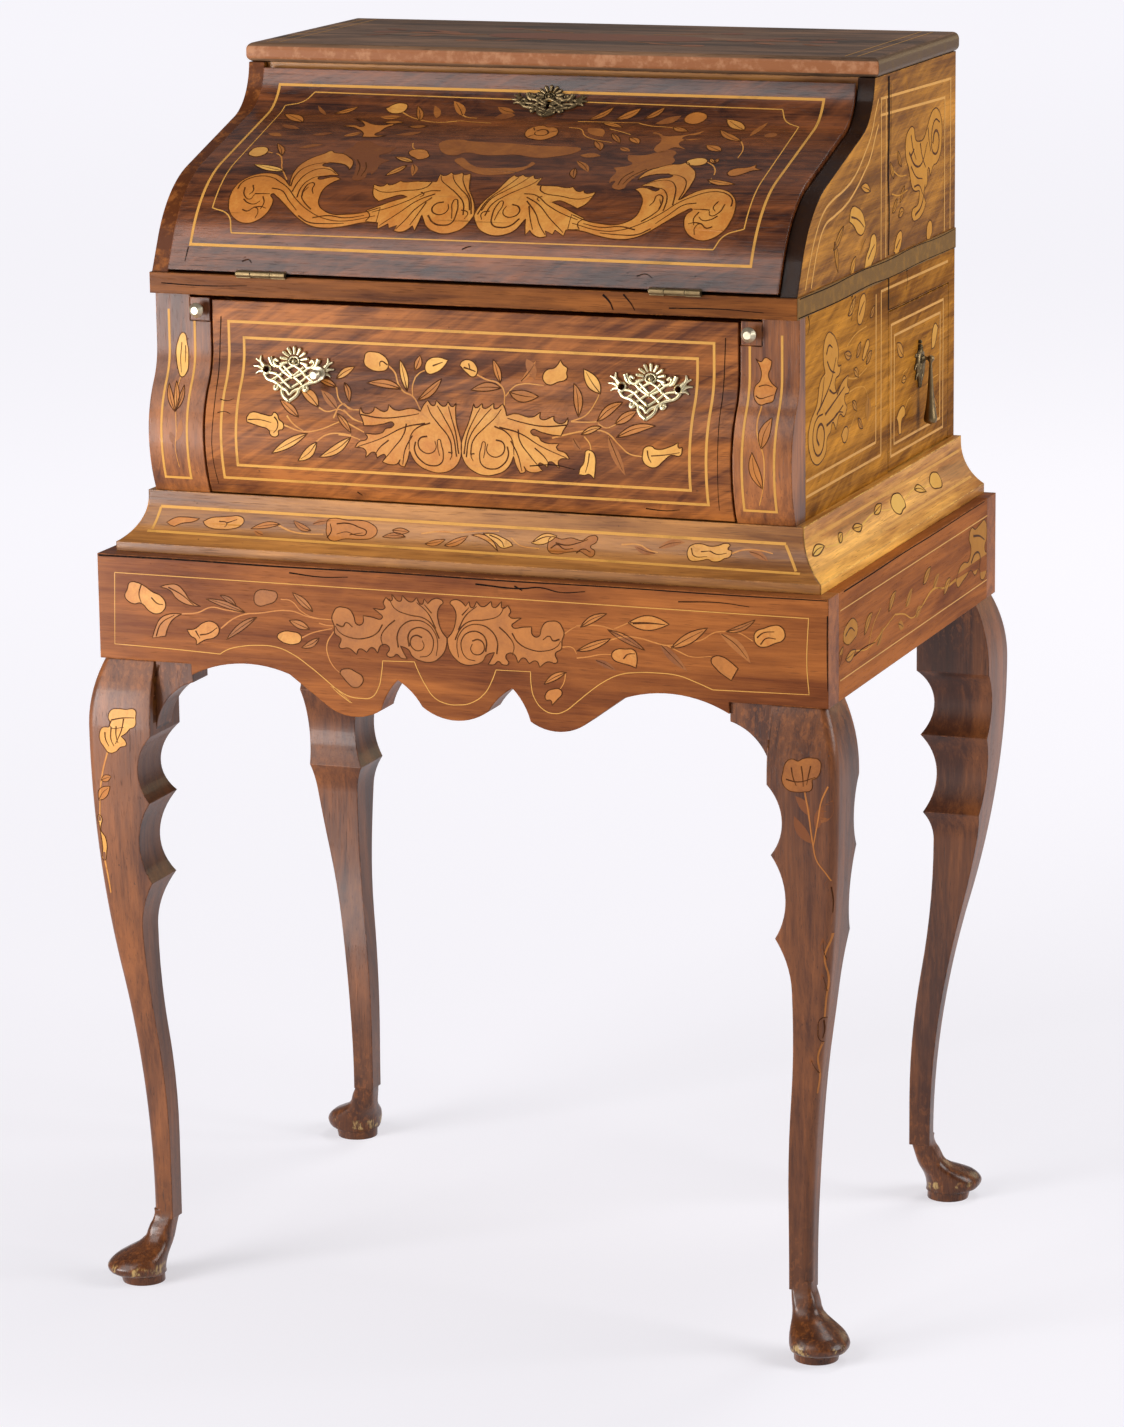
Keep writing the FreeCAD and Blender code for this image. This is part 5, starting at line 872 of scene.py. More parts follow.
TOP_SCROLL = """
cut 0.05: -2,98 -40,100 -80,104 -104,116 -108,126! -104,136 -80,148 -40,153 -2,154
cut 0.12: -120,126 -140,118 -152,128 -170,124 -186,134 -168,136 -150,146 -138,136
cut 0.15: -196,128 -212,122 -222,130 -212,138
leaf 0.2 9: -150,112 -176,96
leaf 0.2 9: -150,142 -178,158
leaf 0.25 8: -196,110 -220,96
leaf 0.25 8: -196,146 -222,160
leaf 0.2 8: -60,90 -84,74
leaf 0.2 8: -60,164 -84,182
cut 0.2: -96,72 -108,64 -118,70 -110,80
cut 0.2: -96,182 -108,176 -118,184 -108,192
stem 1: -110,126 -140,126 -196,128
stem 1: -40,94 -70,84 -96,72
stem 1: -40,160 -70,170 -96,182
"""
PLATE = """
ring 0.9: 0,12.6 -3,11.8 -4.6,9 -3.4,6.2 0,5.2 3.4,6.2 4.6,9 3,11.8
bead 2.6: 0,8.6
bar 1.2: -9.5,6.5 -12.5,3.6 -16.5,4.2 -18.6,7.4 -17,9.8 -15,8.2
bar 1.1 1.7: -17,3 -20.5,6 -22.5,11.5
ring 1.2: -25,3.4 -27.8,0.2 -25,-3 -22.2,0.2
bar 1.9 0.3: -27,3 -30.5,6.5 -35.5,9.4
bar 1.8 0.3: -27.5,2 -31,8 -31,12.6
bar 1.7 0.3: -28,0 -32,2.6 -37.2,3
bar 1.5 0.3: -28,-1 -31.5,-1.5 -34.5,-3.4
bar 1.2 0.6: -27,-3 -23.5,-7.4 -18.5,-9 -15.2,-8.2
bar 1.2: -20,-8.6 -15.5,-10 -12,-12.8 -12.6,-15.6 -15,-15 -14.6,-13
bar 1.2: -12,-12 -8.4,-14.6 -7,-19.4 0,-25.4
bar 1.1: -8.4,-14.6 -3.4,-16.6 0,-20.5
bar 1.0: -22.4,-2 -15,-3.5 -8,-9 0,-14.6
bar 1.0: -19,-8.6 -11,-3 -6,1.6 0,5
bar 1.0: -14,3.6 -8,-1.6 0,-6.2
bar 1.0: -10,-11.4 -5,-7.6 0,-4.4 5,0 9,4
bead 1.7: -11,-3.2
bead 1.6: 0,-5.4
bead 1.5: 0,-14.4
bead 1.9: 0,-24.6
bead 1.4: -20.4,6
bead 1.3: -15,8.4
"""
SHIELD = """
bead 1.9: 0,815
bead 2.5: 0,810.5
bar 2.4 0.7: 0,806 0,812
bead 5: 0,799.5
bar 2: 0,806 -5,803 -7.4,796 -5.4,787.5 0,781
bar 2.6 0.5: 0,797 -3,788 0,775.5
bar 1.4 0.3: -5,802 -9,804.5 -13,803
bar 1.4 0.3: -7,795 -11,795.5 -14.5,792
bar 1.4 0.3: -5.4,788 -9.5,786.5 -11.5,782.5
bead 1.6: 0,775.5
bead 2.2: -3.4,791
"""
DROP = """
profile: 0,803.5! 2.2,802.6 3,800.5 2.2,798.2 1.3,796.4 1.5,792 2.1,782 2.9,770 4.2,758 5.5,750 5.9,746.6 5.2,744 \
2.6,742.6 0,741.5!
"""
APRON_CRACKS = """
line 0.8: -329,660.4 -250,660.8 -160,660.2 -60,660.9 40,660.3 140,660.8 240,660.2 329,660.6
line 0.7: 20,656 60,654.5 78,656.5 96,653.5 118,655.5
line 0.6: -150,655.5 -120,653.5 -96,655
line 0.5: 200,652 236,653.5 262,651.5
line 0.7: 55,656.5 62,653
line 0.6: 329.4,655 329,620 329.5,585
"""
SIDE_CRACKS = """
line 0.7: -249,660.5 -150,660.2 -40,660.8 60,660.3 160,660.7 249,660.4
line 0.6: -246,655 -247,620 -245.5,585
line 0.5: -180,600 -150,601.5 -120,599.5
"""
DRAWER_CRACKS = """
line 0.4: -229,865 -231,830 -229.5,790 -231,750 -229,722
line 0.35: 226,866 224.5,820 226,770 225,724
line 0.35: -225,796 -218,795 -212,797
line 0.35: -226,785 -219,786 -214,784.5
line 0.5: 160,722 178,721 190,722.5
line 0.6: -100,722 -96,719
line 0.5: 60,754 82,756 100,753
"""
LEDGE_CRACKS = """
line 0.9: 122,899 128,893 131,886.5
line 0.7: 140,900 147,892 150,887
line 0.5: -280,893 -240,892 -200,893.5
line 0.5: 180,890 220,891 262,889.5
"""
# Cracks and joints of the right side; the broad lines are drawn wider than their gaps, as painted shadow of a board
# that stands proud
CASE_CRACKS_AND_SHADOW = """
line 2.6: 45.5,1058 46.5,1010 45,975 47.5,940 46,904
line 0.5: 52,1050 52.5,1020 51.5,990
line 0.5: -205,901 -120,900 -40,901.5 40,900 120,901.5 200,900 246,901
line 0.5: -208,885.5 -100,884.5 0,886 40,884.5 140,885.5 246,884.6
line 1.6: 47,884 46.4,860 46.6,800 46.2,740 46.6,714
line 1.2: 46,855.4 110,855.2 170,855.6 232,855.3
line 1.9: 231,855 231.4,800 231,760 231.3,715
line 0.5: -180,884 -176,876 -181,868
line 0.45: -60,884 -57,872 -61,862
line 0.5: 8.6,778 10,778.6
line 0.45: 100,884 103,874 99,866
"""
FALL_CRACKS = """
line 0.5: -258,393 -259,381
line 0.6: -206,383 -200,384.5 -197,382
line 0.5: -8,399.5 -3,401.5 0,402
line 0.45: 150,384 158,386 164,383
"""
INSTEP = """
line: 0,1 7.9,1.02 8.2,1.10 11,1.12 16,1.08 20,1.02 24,0.96 28,0.86 33,0.74 37,0.71 41,0.76 45,0.86 50,0.97 56,1
"""


def pattern(text):
    """Pieces of a pattern, one a row: kind, amounts and points; a point marked ! is a corner."""
    for row in text.strip().splitlines():
        head, _, tail = row.partition(":")
        kind, *amounts = head.split()
        points = []
        for word in tail.split():
            across, up = word.rstrip("!").split(",")
            points.append((float(across), float(up), word.endswith("!")))
        yield kind, [float(a) for a in amounts], points


def curve_mesh(points, closed=False, taper=1, form="3D", **settings):
    """Mesh of a smooth curve through points in millimetres, with a corner where one is marked."""
    curve = bpy.data.curves.new("curve", "CURVE")
    curve.dimensions = form
    curve.resolution_u = 5
    for name, value in settings.items():
        setattr(curve, name, value)
    spline = curve.splines.new("BEZIER")
    spline.bezier_points.add(len(points) - 1)
    spline.use_cyclic_u = closed
    for index, (point, (across, up, corner)) in enumerate(zip(spline.bezier_points, points)):
        point.co = (across * MM, up * MM, 0)
        point.tilt = math.pi / 2
        point.radius = 1 + (taper - 1) * index / max(1, len(points) - 1)
        point.handle_left_type = point.handle_right_type = "VECTOR" if corner else "AUTO"
    holder = bpy.data.objects.new("curve", curve)
    mesh = bpy.data.meshes.new_from_object(holder)
    bpy.data.objects.remove(holder)
    bpy.data.curves.remove(curve)
    return mesh


def flat_fill(points):
    """Flat mesh inside a closed outline."""
    return curve_mesh(points, True, form="2D", fill_mode="FRONT")


def ribbon(points, width, closed=False, taper=1):
    """Flat mesh of even or tapering width, in metres, along a line."""
    return curve_mesh(points, closed, taper, twist_mode="Z_UP", extrude=width / 2)


def take(bm, mesh):
    """Adds a mesh to a bmesh and lets it go."""
    bm.from_mesh(mesh)
    bpy.data.meshes.remove(mesh)


def smooth_piece(name, bm, material):
    """Smooth object with one material, made of a bmesh that is then let go."""
    if not bm.faces:
        raise RuntimeError(f"Nothing is left of {name}")
    for face in bm.faces:
        face.smooth = True
    mesh = bpy.data.meshes.new(name)
    bm.to_mesh(mesh)
    bm.free()
    mesh.materials.append(material)
    piece = bpy.data.objects.new(name, mesh)
    bpy.context.collection.objects.link(piece)
    return piece


def almond(base, tip, width, bend):
    """Outline and vein of a leaf from its stalk to its tip."""
    along = Vector((tip[0] - base[0], tip[1] - base[1]))
    side = Vector((-along.y, along.x)).normalized()

    def at(share, out, corner=False):
        spot = Vector(base[:2]) + along * share + side * (width / 2 * out + bend * 4 * share * (1 - share))
        return spot.x, spot.y, corner

    edge = [at(0, 0, True), at(0.2, 0.62), at(0.45, 1), at(0.75, 0.72), at(1, 0, True),
            at(0.78, -0.60), at(0.5, -0.98), at(0.2, -0.70)]
    return edge, [at(0.05, 0), at(0.45, 0.08), at(0.86, -0.05)]


class Ground:
    """A show face laid flat, with the CAD nodes that carry it."""

    def __init__(self, nodes, across, up):
        self.across = Vector(across)
        self.up = Vector(up)
        self.out = self.across.cross(self.up)
        faces = bmesh.new()
        for node in nodes.split():
            faces.from_mesh(NODES[node].data)
        self.tree = BVHTree.FromBMesh(faces)
        faces.free()

    def lay(self, bm):
        """Puts flat vertices on the ground; what lies beyond its edge falls away."""
        lost = []
        for vert in bm.verts:
            start = self.across * vert.co.x + self.up * vert.co.y + self.out * 2
            spot, normal, _, _ = self.tree.ray_cast(start, -self.out, 4)
            if spot is None or normal.dot(self.out) < 0.15:
                lost.append(vert)
            else:
                vert.co = spot + normal * vert.co.z
        bmesh.ops.delete(bm, geom=lost, context="VERTS")


class Inlay:
    """Marquetry, lines and stringing for one panel, gathered flat and then laid; turn -1 mirrors it."""

    def __init__(self, name, ground, body, bold=1, turn=1):
        self.name, self.ground, self.body, self.bold, self.turn = name, ground, body, bold, turn
        self.lift = bpy.context.scene.escritoire_sizes.lift
        self.layers = {part: bmesh.new() for part in ("marquetry", "engraving", "stringing")}
        for bm in self.layers.values():
            bm.verts.layers.float.new("tone")
        self.count = 0

    def add(self, part, mesh, tone, level):
        """Adds a flat mesh to a layer at a level over the ground."""
        bm = self.layers[part]
        first = len(bm.verts)
        take(bm, mesh)
        bm.verts.ensure_lookup_table()
        layer = bm.verts.layers.float["tone"]
        self.count += 1
        for vert in bm.verts[first:]:
            vert.co.z = self.lift * level + 0.000002 * (self.count % 9)
            vert[layer] = tone

    def draw(self, text, about=None, dim=0):
        """Draws a pattern, mirrored about an upright line where one is given."""
        for kind, amounts, points in pattern(text):
            points = [(self.turn * u, v, c) for u, v, c in points]
            if about is not None:
                points = [(2 * about - u, v, c) for u, v, c in points]
            if kind == "stem":
                self.add("marquetry", ribbon(points, amounts[0] * STEM_SPREAD * MM, taper=0.7), 0.66 - dim,
                         STEM_LEVEL)
            elif kind == "line":
                self.add("engraving", ribbon(points, amounts[0] * LINE_SPREAD * self.bold * MM, taper=0.5), 1,
                         LINE_LEVEL)
            else:
                self.petal(kind == "leaf", amounts, points, dim)

    def petal(self, leaf, amounts, points, dim):
        """One cut piece or leaf with its outline and vein, which are left out where it has faded."""
        tone = amounts[0]
        vein = None
        vary = 0.1 * math.sin(self.count * 2.4) - dim
        if leaf:
            bend = math.dist(points[0][:2], points[1][:2]) * 0.07 * math.sin(self.count * 1.7)
            points, vein = almond(points[0], points[1], amounts[1], bend)
        self.add("marquetry", flat_fill(points), tone + vary, 1)
        if tone > OUTLINED:
            self.add("engraving", ribbon(points, OUTLINE_WIDTH * self.bold * MM, True), tone, LINE_LEVEL)
        if vein and tone > VEINED:
            self.add("engraving", ribbon(vein, VEIN_WIDTH * self.bold * MM, taper=0.4), 0.9, LINE_LEVEL)

    def strings(self, width, *runs):
        """Strings through points in millimetres; a point with no mark of its own is a corner."""
        for run in runs:
            points = [(self.turn * u, v, *(mark or [True])) for u, v, *mark in run]
            self.add("stringing", ribbon(points, width), 0.5 + 0.3 * math.sin(self.count), STRING_LEVEL)

    def frame(self, left, low, right, high, width):
        """Four strings round a panel, mitred by running past each other."""
        half = width / 2 / MM
        self.strings(width, ((left - half, low), (right + half, low)), ((left - half, high), (right + half, high)),
                     ((left, low), (left, high)), ((right, low), (right, high)))

    def finish(self, finishes, strip=0):
        """Cuts the layers in strips where the ground is curved, lays them and makes their objects."""
        for part, bm in self.layers.items():
            if not bm.verts:
                bm.free()
                continue
            wrong = [face for face in bm.faces if face.normal.z < 0]
            bmesh.ops.reverse_faces(bm, faces=wrong)
            if strip:
                heights = [vert.co.y for vert in bm.verts]
                for row in range(math.floor(min(heights) / strip) + 1, math.ceil(max(heights) / strip)):
                    bmesh.ops.bisect_plane(bm, geom=bm.verts[:] + bm.edges[:] + bm.faces[:],
                                           plane_co=(0, row * strip, 0), plane_no=(0, 1, 0))
            self.ground.lay(bm)
            piece = smooth_piece(f"{self.name}_{part}", bm, finishes[part])
            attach(piece, self.body)


def marquetry(name, low, middle, high, sheen):
    """Marquetry wood whose tint goes by the tone of each piece."""
    f = Finish(name)
    tone = f.tone()
    grain = f.grain((420, 420, 420), (0.4, 0.3, 0.6), 4, 0.65)
    cloud = f.cloud(45, 4, 0.6, 0.7)
    body = f.ramp(tone + cloud * 0.5 + grain * 0.24 - 0.37, (0.0, low), (1.0, high), (0.55, middle))
    scorch = f.step(f.cloud(75, 3, 0.6, 1), 0.58, 0.78)
    f.feed("Base Color", f.mix(scorch * 0.4, body, shade(middle, 0.5)))
    f.feed("Roughness", 0.34 + grain * 0.16)
    f.polish(sheen, sheen * 0.36)
    f.bump(grain, 0.00008)


def engraved(t):
    """Dark filling of the lines, worn away where the tone is low."""
    f = Finish("engraving")
    tone = f.tone()
    worn = f.cloud(160, 3, 0.6)
    f.feed("Base Color", f.mix(f.step(worn, 0.42, 0.66) * 0.4, t.engraving, shade(t.inlay_mid, 0.4)))
    f.feed("Alpha", f.step(tone + worn * 0.6, 0.35, 0.85))
    f.feed("Roughness", 0.5)
    f.polish(0.06)


def box_string(t):
    """Pale stringing with grime in patches."""
    f = Finish("stringing")
    tone = f.tone()
    grain = f.cloud(300, 4, 0.65)
    grime = f.step(f.cloud(38, 5, 0.7), 0.5, 0.72)
    body = f.mix(tone * 0.4 + grain * 0.3, t.string, shade(t.string, 0.72))
    f.feed("Base Color", f.mix(grime * 0.5, body, shade(t.string, 0.42)))
    f.feed("Roughness", 0.36 + grain * 0.15)
    f.polish(0.15, 0.05, 0.03)
    f.bump(grain, 0.00008)


def inlay_finishes(golden=False):
    """Materials of the marquetry, its lines and the stringing, made once."""
    made = bpy.data.materials
    if "marquetry" not in made:
        t = bpy.context.scene.escritoire_colours
        marquetry("marquetry", t.inlay_low, t.inlay_mid, t.inlay_high, 0.22)
        marquetry("side_marquetry", t.gilt_low, t.gilt_mid, t.gilt_high, 0.03)
        engraved(t)
        box_string(t)
    return {"marquetry": made["side_marquetry" if golden else "marquetry"], "engraving": made["engraving"],
            "stringing": made["stringing"]}


class Desk:
    """Shared readings of the desk's properties."""

    @property
    def tints(self):
        return bpy.context.scene.escritoire_colours

    @property
    def sizes(self):
        return bpy.context.scene.escritoire_sizes


class ESCRITOIRE_OT_stage(Desk, bpy.types.Operator):
    """Floor, light and camera of the studio"""
    bl_idname = "escritoire.stage"
    bl_label = "Studio"

    def execute(self, context):
        context.scene.view_settings.view_transform = "Standard"
        self.floor()
        world = bpy.data.worlds.new("studio")
        world.use_nodes = True
        sky = world.node_tree.nodes["Background"]
        sky.inputs["Color"].default_value = (0.94, 0.95, 1.0, 1)
        sky.inputs["Strength"].default_value = 0.22
        context.scene.world = world
        self.softbox("front_box", (-2.0, -3.2, 3.1), (0, 0, 0.75), 2.4, 85)
        self.softbox("right_box", (3.6, 0.3, 2.2), (0, 0, 0.7), 2.2, 108)
        self.softbox("head_box", (0.7, 1.8, 4.2), (0, 0, 0.3), 1.4, 36)
        self.softbox("back_box", (2.0, 4.8, 1.7), (0.3, 0, 0.7), 1.6, 15, (1, 0.82, 0.5))
        self.softbox("low_box", (-1.85, -2.25, 0.55), (-0.25, -0.2, 0.7), 1.1, 74)
        self.camera(context.scene)
        return {"FINISHED"}

    def floor(self):
        """Floor that glows in a pool behind the desk and fades to both sides."""
        f = Finish("studio_floor")
        f.feed("Base Color", (*shade(self.tints.floor, 0.45), 1))
        f.feed("Roughness", 1)
        f.polish(0)
        turned = f.node("ShaderNodeMapping", None, {"Vector": f.place, "Rotation": (0, 0, -0.3615)})
        along = f.part(turned, "Y")
        pool = 1 - f.step(abs(f.part(turned, "X")) - along * 0.11, 0.7, 2.6)
        glow = 0.24 + f.step(along, -0.6, 4) * 0.50 + f.step(along, 2, 12) * 0.15
        f.feed("Emission Color", f.mix(pool * glow, shade(self.tints.floor, 0.42), self.tints.floor))
        f.feed("Emission Strength", 1)
        bm = bmesh.new()
        bmesh.ops.create_grid(bm, x_segments=4, y_segments=4, size=40)
        floor = smooth_piece("studio_floor", bm, f.material)

    def softbox(self, name, place, aim, size, power, tint=(1, 1, 1)):
        """Square soft light aimed at a point."""
        data = bpy.data.lights.new(name, "AREA")
        data.size = size
        data.energy = power
        data.color = tint
        light = bpy.data.objects.new(name, data)
        light.location = place
        light.rotation_euler = (Vector(aim) - Vector(place)).to_track_quat("-Z", "Y").to_euler()
        bpy.context.collection.objects.link(light)

    def camera(self, scene):
        """Camera at the photograph's place and angle."""
        yaw, pitch, roll = (math.radians(a) for a in CAMERA_ANGLES)
        ahead = Vector((math.sin(yaw) * math.cos(pitch), math.cos(yaw) * math.cos(pitch), -math.sin(pitch)))
        right = Vector((math.cos(yaw), -math.sin(yaw), 0))
        up = right.cross(ahead)
        across = right * math.cos(roll) + up * math.sin(roll)
        top = up * math.cos(roll) - right * math.sin(roll)
        data = bpy.data.cameras.new("camera")
        data.lens = self.sizes.lens
        data.sensor_width = 36
        camera = bpy.data.objects.new("camera", data)
        turn = Matrix((across, top, -ahead)).transposed().to_4x4()
        camera.matrix_world = Matrix.Translation(self.sizes.eye) @ turn
        scene.collection.objects.link(camera)
        scene.camera = camera


class ESCRITOIRE_OT_veneers(Desk, bpy.types.Operator):
    """Woods and metals of the construction"""
    bl_idname = "escritoire.veneers"
    bl_label = "Veneers and metals"

    def execute(self, context):
        finishes = self.finishes()
        given = {
            "fall_veneer": "fall", "front_veneer": "drawer_front", "gold_veneer": "moulding_front upper_rail",
            "stand_veneer": "apron_front apron_back", "gold_side_veneer": "moulding_left moulding_right",
            "stand_side_veneer": "apron_left apron_right",
            "stile_veneer": "stile_left stile_right loper_left loper_right",
            "side_veneer": "side_lower_left side_lower_right side_drawer_front",
            "edged_side": "side_upper_right", "edged_left": "side_upper_left",
            "leg_wood": "leg_front_left leg_front_right leg_back_left leg_back_right ear_bracket_left"
                        " ear_bracket_right",
            "top_veneer": "top_board", "ledge_veneer": "desk_board",
            "oak_across": "case_bottom back_board partition drawer_back drawer_bottom desk_bed desk_shelf"
                          " side_drawer_near side_drawer_far side_drawer_bottom small_drawer_left"
                          " small_drawer_right",
            "oak_deep": "drawer_guides loper_bearer_left loper_bearer_right side_drawer_guide drawer_side_left"
                        " drawer_side_right side_drawer_back",
            "oak_upright": "desk_dividers",
            "dark_brass": "hinge_leaves_desk hinge_leaves_fall escutcheon fall_lock lock_bolt drop_plate"
                          " drop_handle",
            "brass": "drawer_plates handle_post loper_knob_left loper_knob_right small_knob_left small_knob_right",
        }
        done = set()
        for finish, names in given.items():
            for name in names.split():
                mesh = NODES[name].data
                mesh.materials.clear()
                mesh.materials.append(finishes[finish].material)
                done.add(name)
        if done != set(NODES):
            raise RuntimeError(f"No finish for {set(NODES) ^ done}")
        return {"FINISHED"}

    def finishes(self):
        """Woods and metals by name."""
        t = self.tints
        front = {"dark": t.front_dark, "light": t.front_light}
        stand = {"dark": t.stand_dark, "light": t.stand_light, "wear": 0.6}
        side = {"dark": t.side_dark, "light": t.side_light, "turn": DEEP, "flame": 0.6, "gloss": 0.38,
                "slant": SIDE_FLAME}
        # Lighter copy of the moulding's gold for the side mouldings: painted sheen
        lit = [tuple(min(part * more, 0.9) for part, more in zip(tint, GOLD_SHEEN_LIFT))
               for tint in (t.gold_dark, t.gold_light)]
        woods = {
            "fall_veneer": dict(dark=t.fall_dark, light=t.fall_light, turn=LEVEL, flame=0.7, gloss=0.21, wear=0.4,
                                fade=0.2, slant=FRONT_FLAME, sheen=0.34),
            "front_veneer": dict(front, turn=LEVEL, flame=1, gloss=0.28, slant=FRONT_FLAME, sheen=0.15),
            "stand_veneer": dict(stand, turn=LEVEL, flame=0.3, sheen=0.09),
            "stand_side_veneer": dict(stand, turn=DEEP, flame=0.4, gloss=0.36, sheen=0.02),
            "gold_veneer": dict(dark=t.gold_dark, light=t.gold_light, turn=LEVEL, wear=0.7),
            "gold_side_veneer": dict(dark=lit[0], light=lit[1], turn=DEEP, gloss=0.34, wear=0.7, sheen=0.16),
            "stile_veneer": dict(front, flame=0.4, wear=0.6, sheen=0.33),
            "side_veneer": dict(side, sheen=0.02),
            "leg_wood": dict(dark=t.leg_dark, light=t.leg_light, flame=0.3, gloss=0.34, wear=0.9),
            "top_veneer": dict(dark=t.top_dark, light=t.top_light, turn=LEVEL, flame=0.4, gloss=0.36, wear=0.8,
                               edge=shade(t.stand_light, 1.1), sheen=0.08),
            "ledge_veneer": dict(dark=shade(t.front_dark, 0.7), light=shade(t.front_light, 0.65), turn=LEVEL,
                                 flame=0.3, gloss=0.28, wear=0.8, sheen=0.07),
            "edged_side": dict(side, sheen=0.07),
            "edged_left": dict(side, sheen=0.07),
        }
        made = {name: veneer(name, **looks) for name, looks in woods.items()}
        for name, turn in (("oak_across", LEVEL), ("oak_deep", DEEP), ("oak_upright", UPRIGHT)):
            made[name] = plain_oak(name, t.oak_dark, t.oak_light, turn)
        made["brass"] = cast_brass("brass", t.brass, t.tarnish, 0.32)
        made["dark_brass"] = cast_brass("dark_brass", t.dull_brass, shade(t.tarnish, 0.5), 0.3)
        self.faced(made["edged_side"], "X", shade(t.side_dark, 0.3), t.ebony, 0.3, gloss=0.12)
        self.faced(made["edged_left"], "X", t.front_light, t.front_dark, 0.6)
        self.faced(made["top_veneer"], "Z", (0.44, 0.21, 0.105), (0.28, 0.105, 0.042), 0.7)
        self.faced(made["top_veneer"], "X", (0.13, 0.08, 0.04), (0.085, 0.046, 0.022), 0.6, True)
        self.faced(made["ledge_veneer"], "X", (0.25, 0.125, 0.03), (0.15, 0.075, 0.018), 0.8, True, 0.5)
        self.scuffed(made["leg_wood"])
        return made

    def faced(self, f, axis, worn, tint, rubbed, ends=False, gloss=0.34):
        """Gives another tint to the faces that look away from an axis, or to those that look along it."""
        normal = f.node("ShaderNodeNewGeometry", out="True Normal")
        share = f.step(abs(f.part(normal, axis)), 0.4, 0.6)
        rub = f.step(f.cloud(90, 4, 0.7), 0.46, 0.68)
        share = share if ends else 1 - share
        f.feed("Base Color", f.mix(share, f.fed("Base Color"), f.mix(rub * rubbed, tint, worn)))
        matt = f.fed("Roughness")
        f.feed("Roughness", matt + share * (gloss + rub * 0.1 - matt))

    def scuffed(self, f):
        """Darkens and polishes the feet and rubs their toes; lightens the heads of the legs with painted sheen,
        broken up by rubbing.
        """
        t = self.tints
        height = f.part(f.place, "Z")
        low = 1 - f.step(height, 0.03, 0.17)
        high = f.step(height, 0.50, 0.57) * 0.5
        rim = f.step(height, 0.009, 0.012) * (1 - f.step(height, 0.017, 0.021))
        rub_and_sheen = f.step(f.grain((240, 240, 130), UPRIGHT, 5, 0.7, 0.4), 0.50, 0.62)
        grime = f.step(f.cloud(60, 5, 0.65), 0.48, 0.7)
        fray = f.step(f.grain((330, 330, 60), UPRIGHT, 4, 0.7), 0.43, 0.56)
        worn = f.mix(low * (0.5 + grime * 0.4), f.fed("Base Color"), shade(t.leg_dark, 0.55))
        # Paler feet from rubbing, and paler heads of the legs: painted sheen broken up by rubbing
        worn = f.mix((low * 0.4 + high) * rub_and_sheen * 0.55, worn, shade(t.stand_light, 1.25))
        f.feed("Base Color", f.mix(rim * fray * f.step(grime, 0.1, 0.5) * 0.85, worn, t.toe))
        f.feed("Roughness", f.fed("Roughness") - low * 0.12)


class ESCRITOIRE_OT_feet(Desk, bpy.types.Operator):
    """Legs with their feet carved hollow at the instep"""
    bl_idname = "escritoire.feet"
    bl_label = "Carved feet"

    def execute(self, context):
        _, _, steps = next(pattern(INSTEP))
        for name in ("leg_front_left", "leg_front_right", "leg_back_left", "leg_back_right"):
            model = NODES[name].data
            bm = bmesh.new()
            bm.from_mesh(model)
            bmesh.ops.remove_doubles(bm, verts=bm.verts[:], dist=0.00001)
            self.carve(bm, steps)
            bmesh.ops.recalc_face_normals(bm, faces=bm.faces[:])
            for edge in bm.edges:
                edge.smooth = edge.calc_face_angle(0) < CREASE
            piece = smooth_piece(f"carved_{name}", bm, model.materials[0])
            piece.data.attributes.remove(piece.data.attributes["custom_normal"])
            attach(piece, "case")
            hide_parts(name)
        return {"FINISHED"}

    def carve(self, bm, steps):
        """Narrows or widens the foot about the line of its heel, which leans."""
        foot, ankle = [[min((abs(v.co[k]), v.co[k]) for v in bm.verts if low <= v.co.z <= top)[1] for k in (0, 1)]
                       for low, top in HEEL_BANDS]
        for vert in bm.verts:
            if vert.co.z < INSTEP_TOP:
                share = vert.co.z / INSTEP_TOP
                size = self.kept(steps, vert.co.z / MM)
                for k in (0, 1):
                    inner = foot[k] + (ankle[k] - foot[k]) * share
                    vert.co[k] = inner + (vert.co[k] - inner) * size

    def kept(self, steps, height):
        """Width kept at a height, from the instep's table of heights and shares."""
        for (low, start, _), (top, end, _) in zip(steps, steps[1:]):
            if low <= height < top:
                return start + (end - start) * (height - low) / (top - low)
        return 1


class ESCRITOIRE_OT_fall(Desk, bpy.types.Operator):
    """Marquetry and stringing of the fall"""
    bl_idname = "escritoire.fall"
    bl_label = "Fall marquetry"

    def execute(self, context):
        s = self.sizes
        work = Inlay("fall", Ground("fall", *FALL), "fall", 1.25)
        for about in (None, -3.7):
            work.draw(FALL_SCROLL, about, dim=0.2)
            work.draw(FALL_ACANTHUS, about, dim=0.2)
        work.draw(FALL_FLOWERS)
        work.frame(-256.5, 395, 247.5, 622.5, s.bold)
        rim = [(-221.5, 616.5), (212.5, 612.5), (213, 407), (-220.5, 405.5), (-243.5, 427.5), (-245.5, 600.5),
               (232.5, 591), (236, 426)]
        work.strings(s.fine, *(rim[first:first + 2] for first in (0, 2, 4, 6)))
        for corner in ((rim[5], (-230, 606), rim[0]), (rim[1], (219, 599), rim[6]),
                       (rim[7], (220, 419), rim[2]), (rim[3], (-227, 421), rim[4])):
            work.strings(s.fine, [(*point, False) for point in corner])
        work.finish(inlay_finishes(), s.strip)
        return {"FINISHED"}


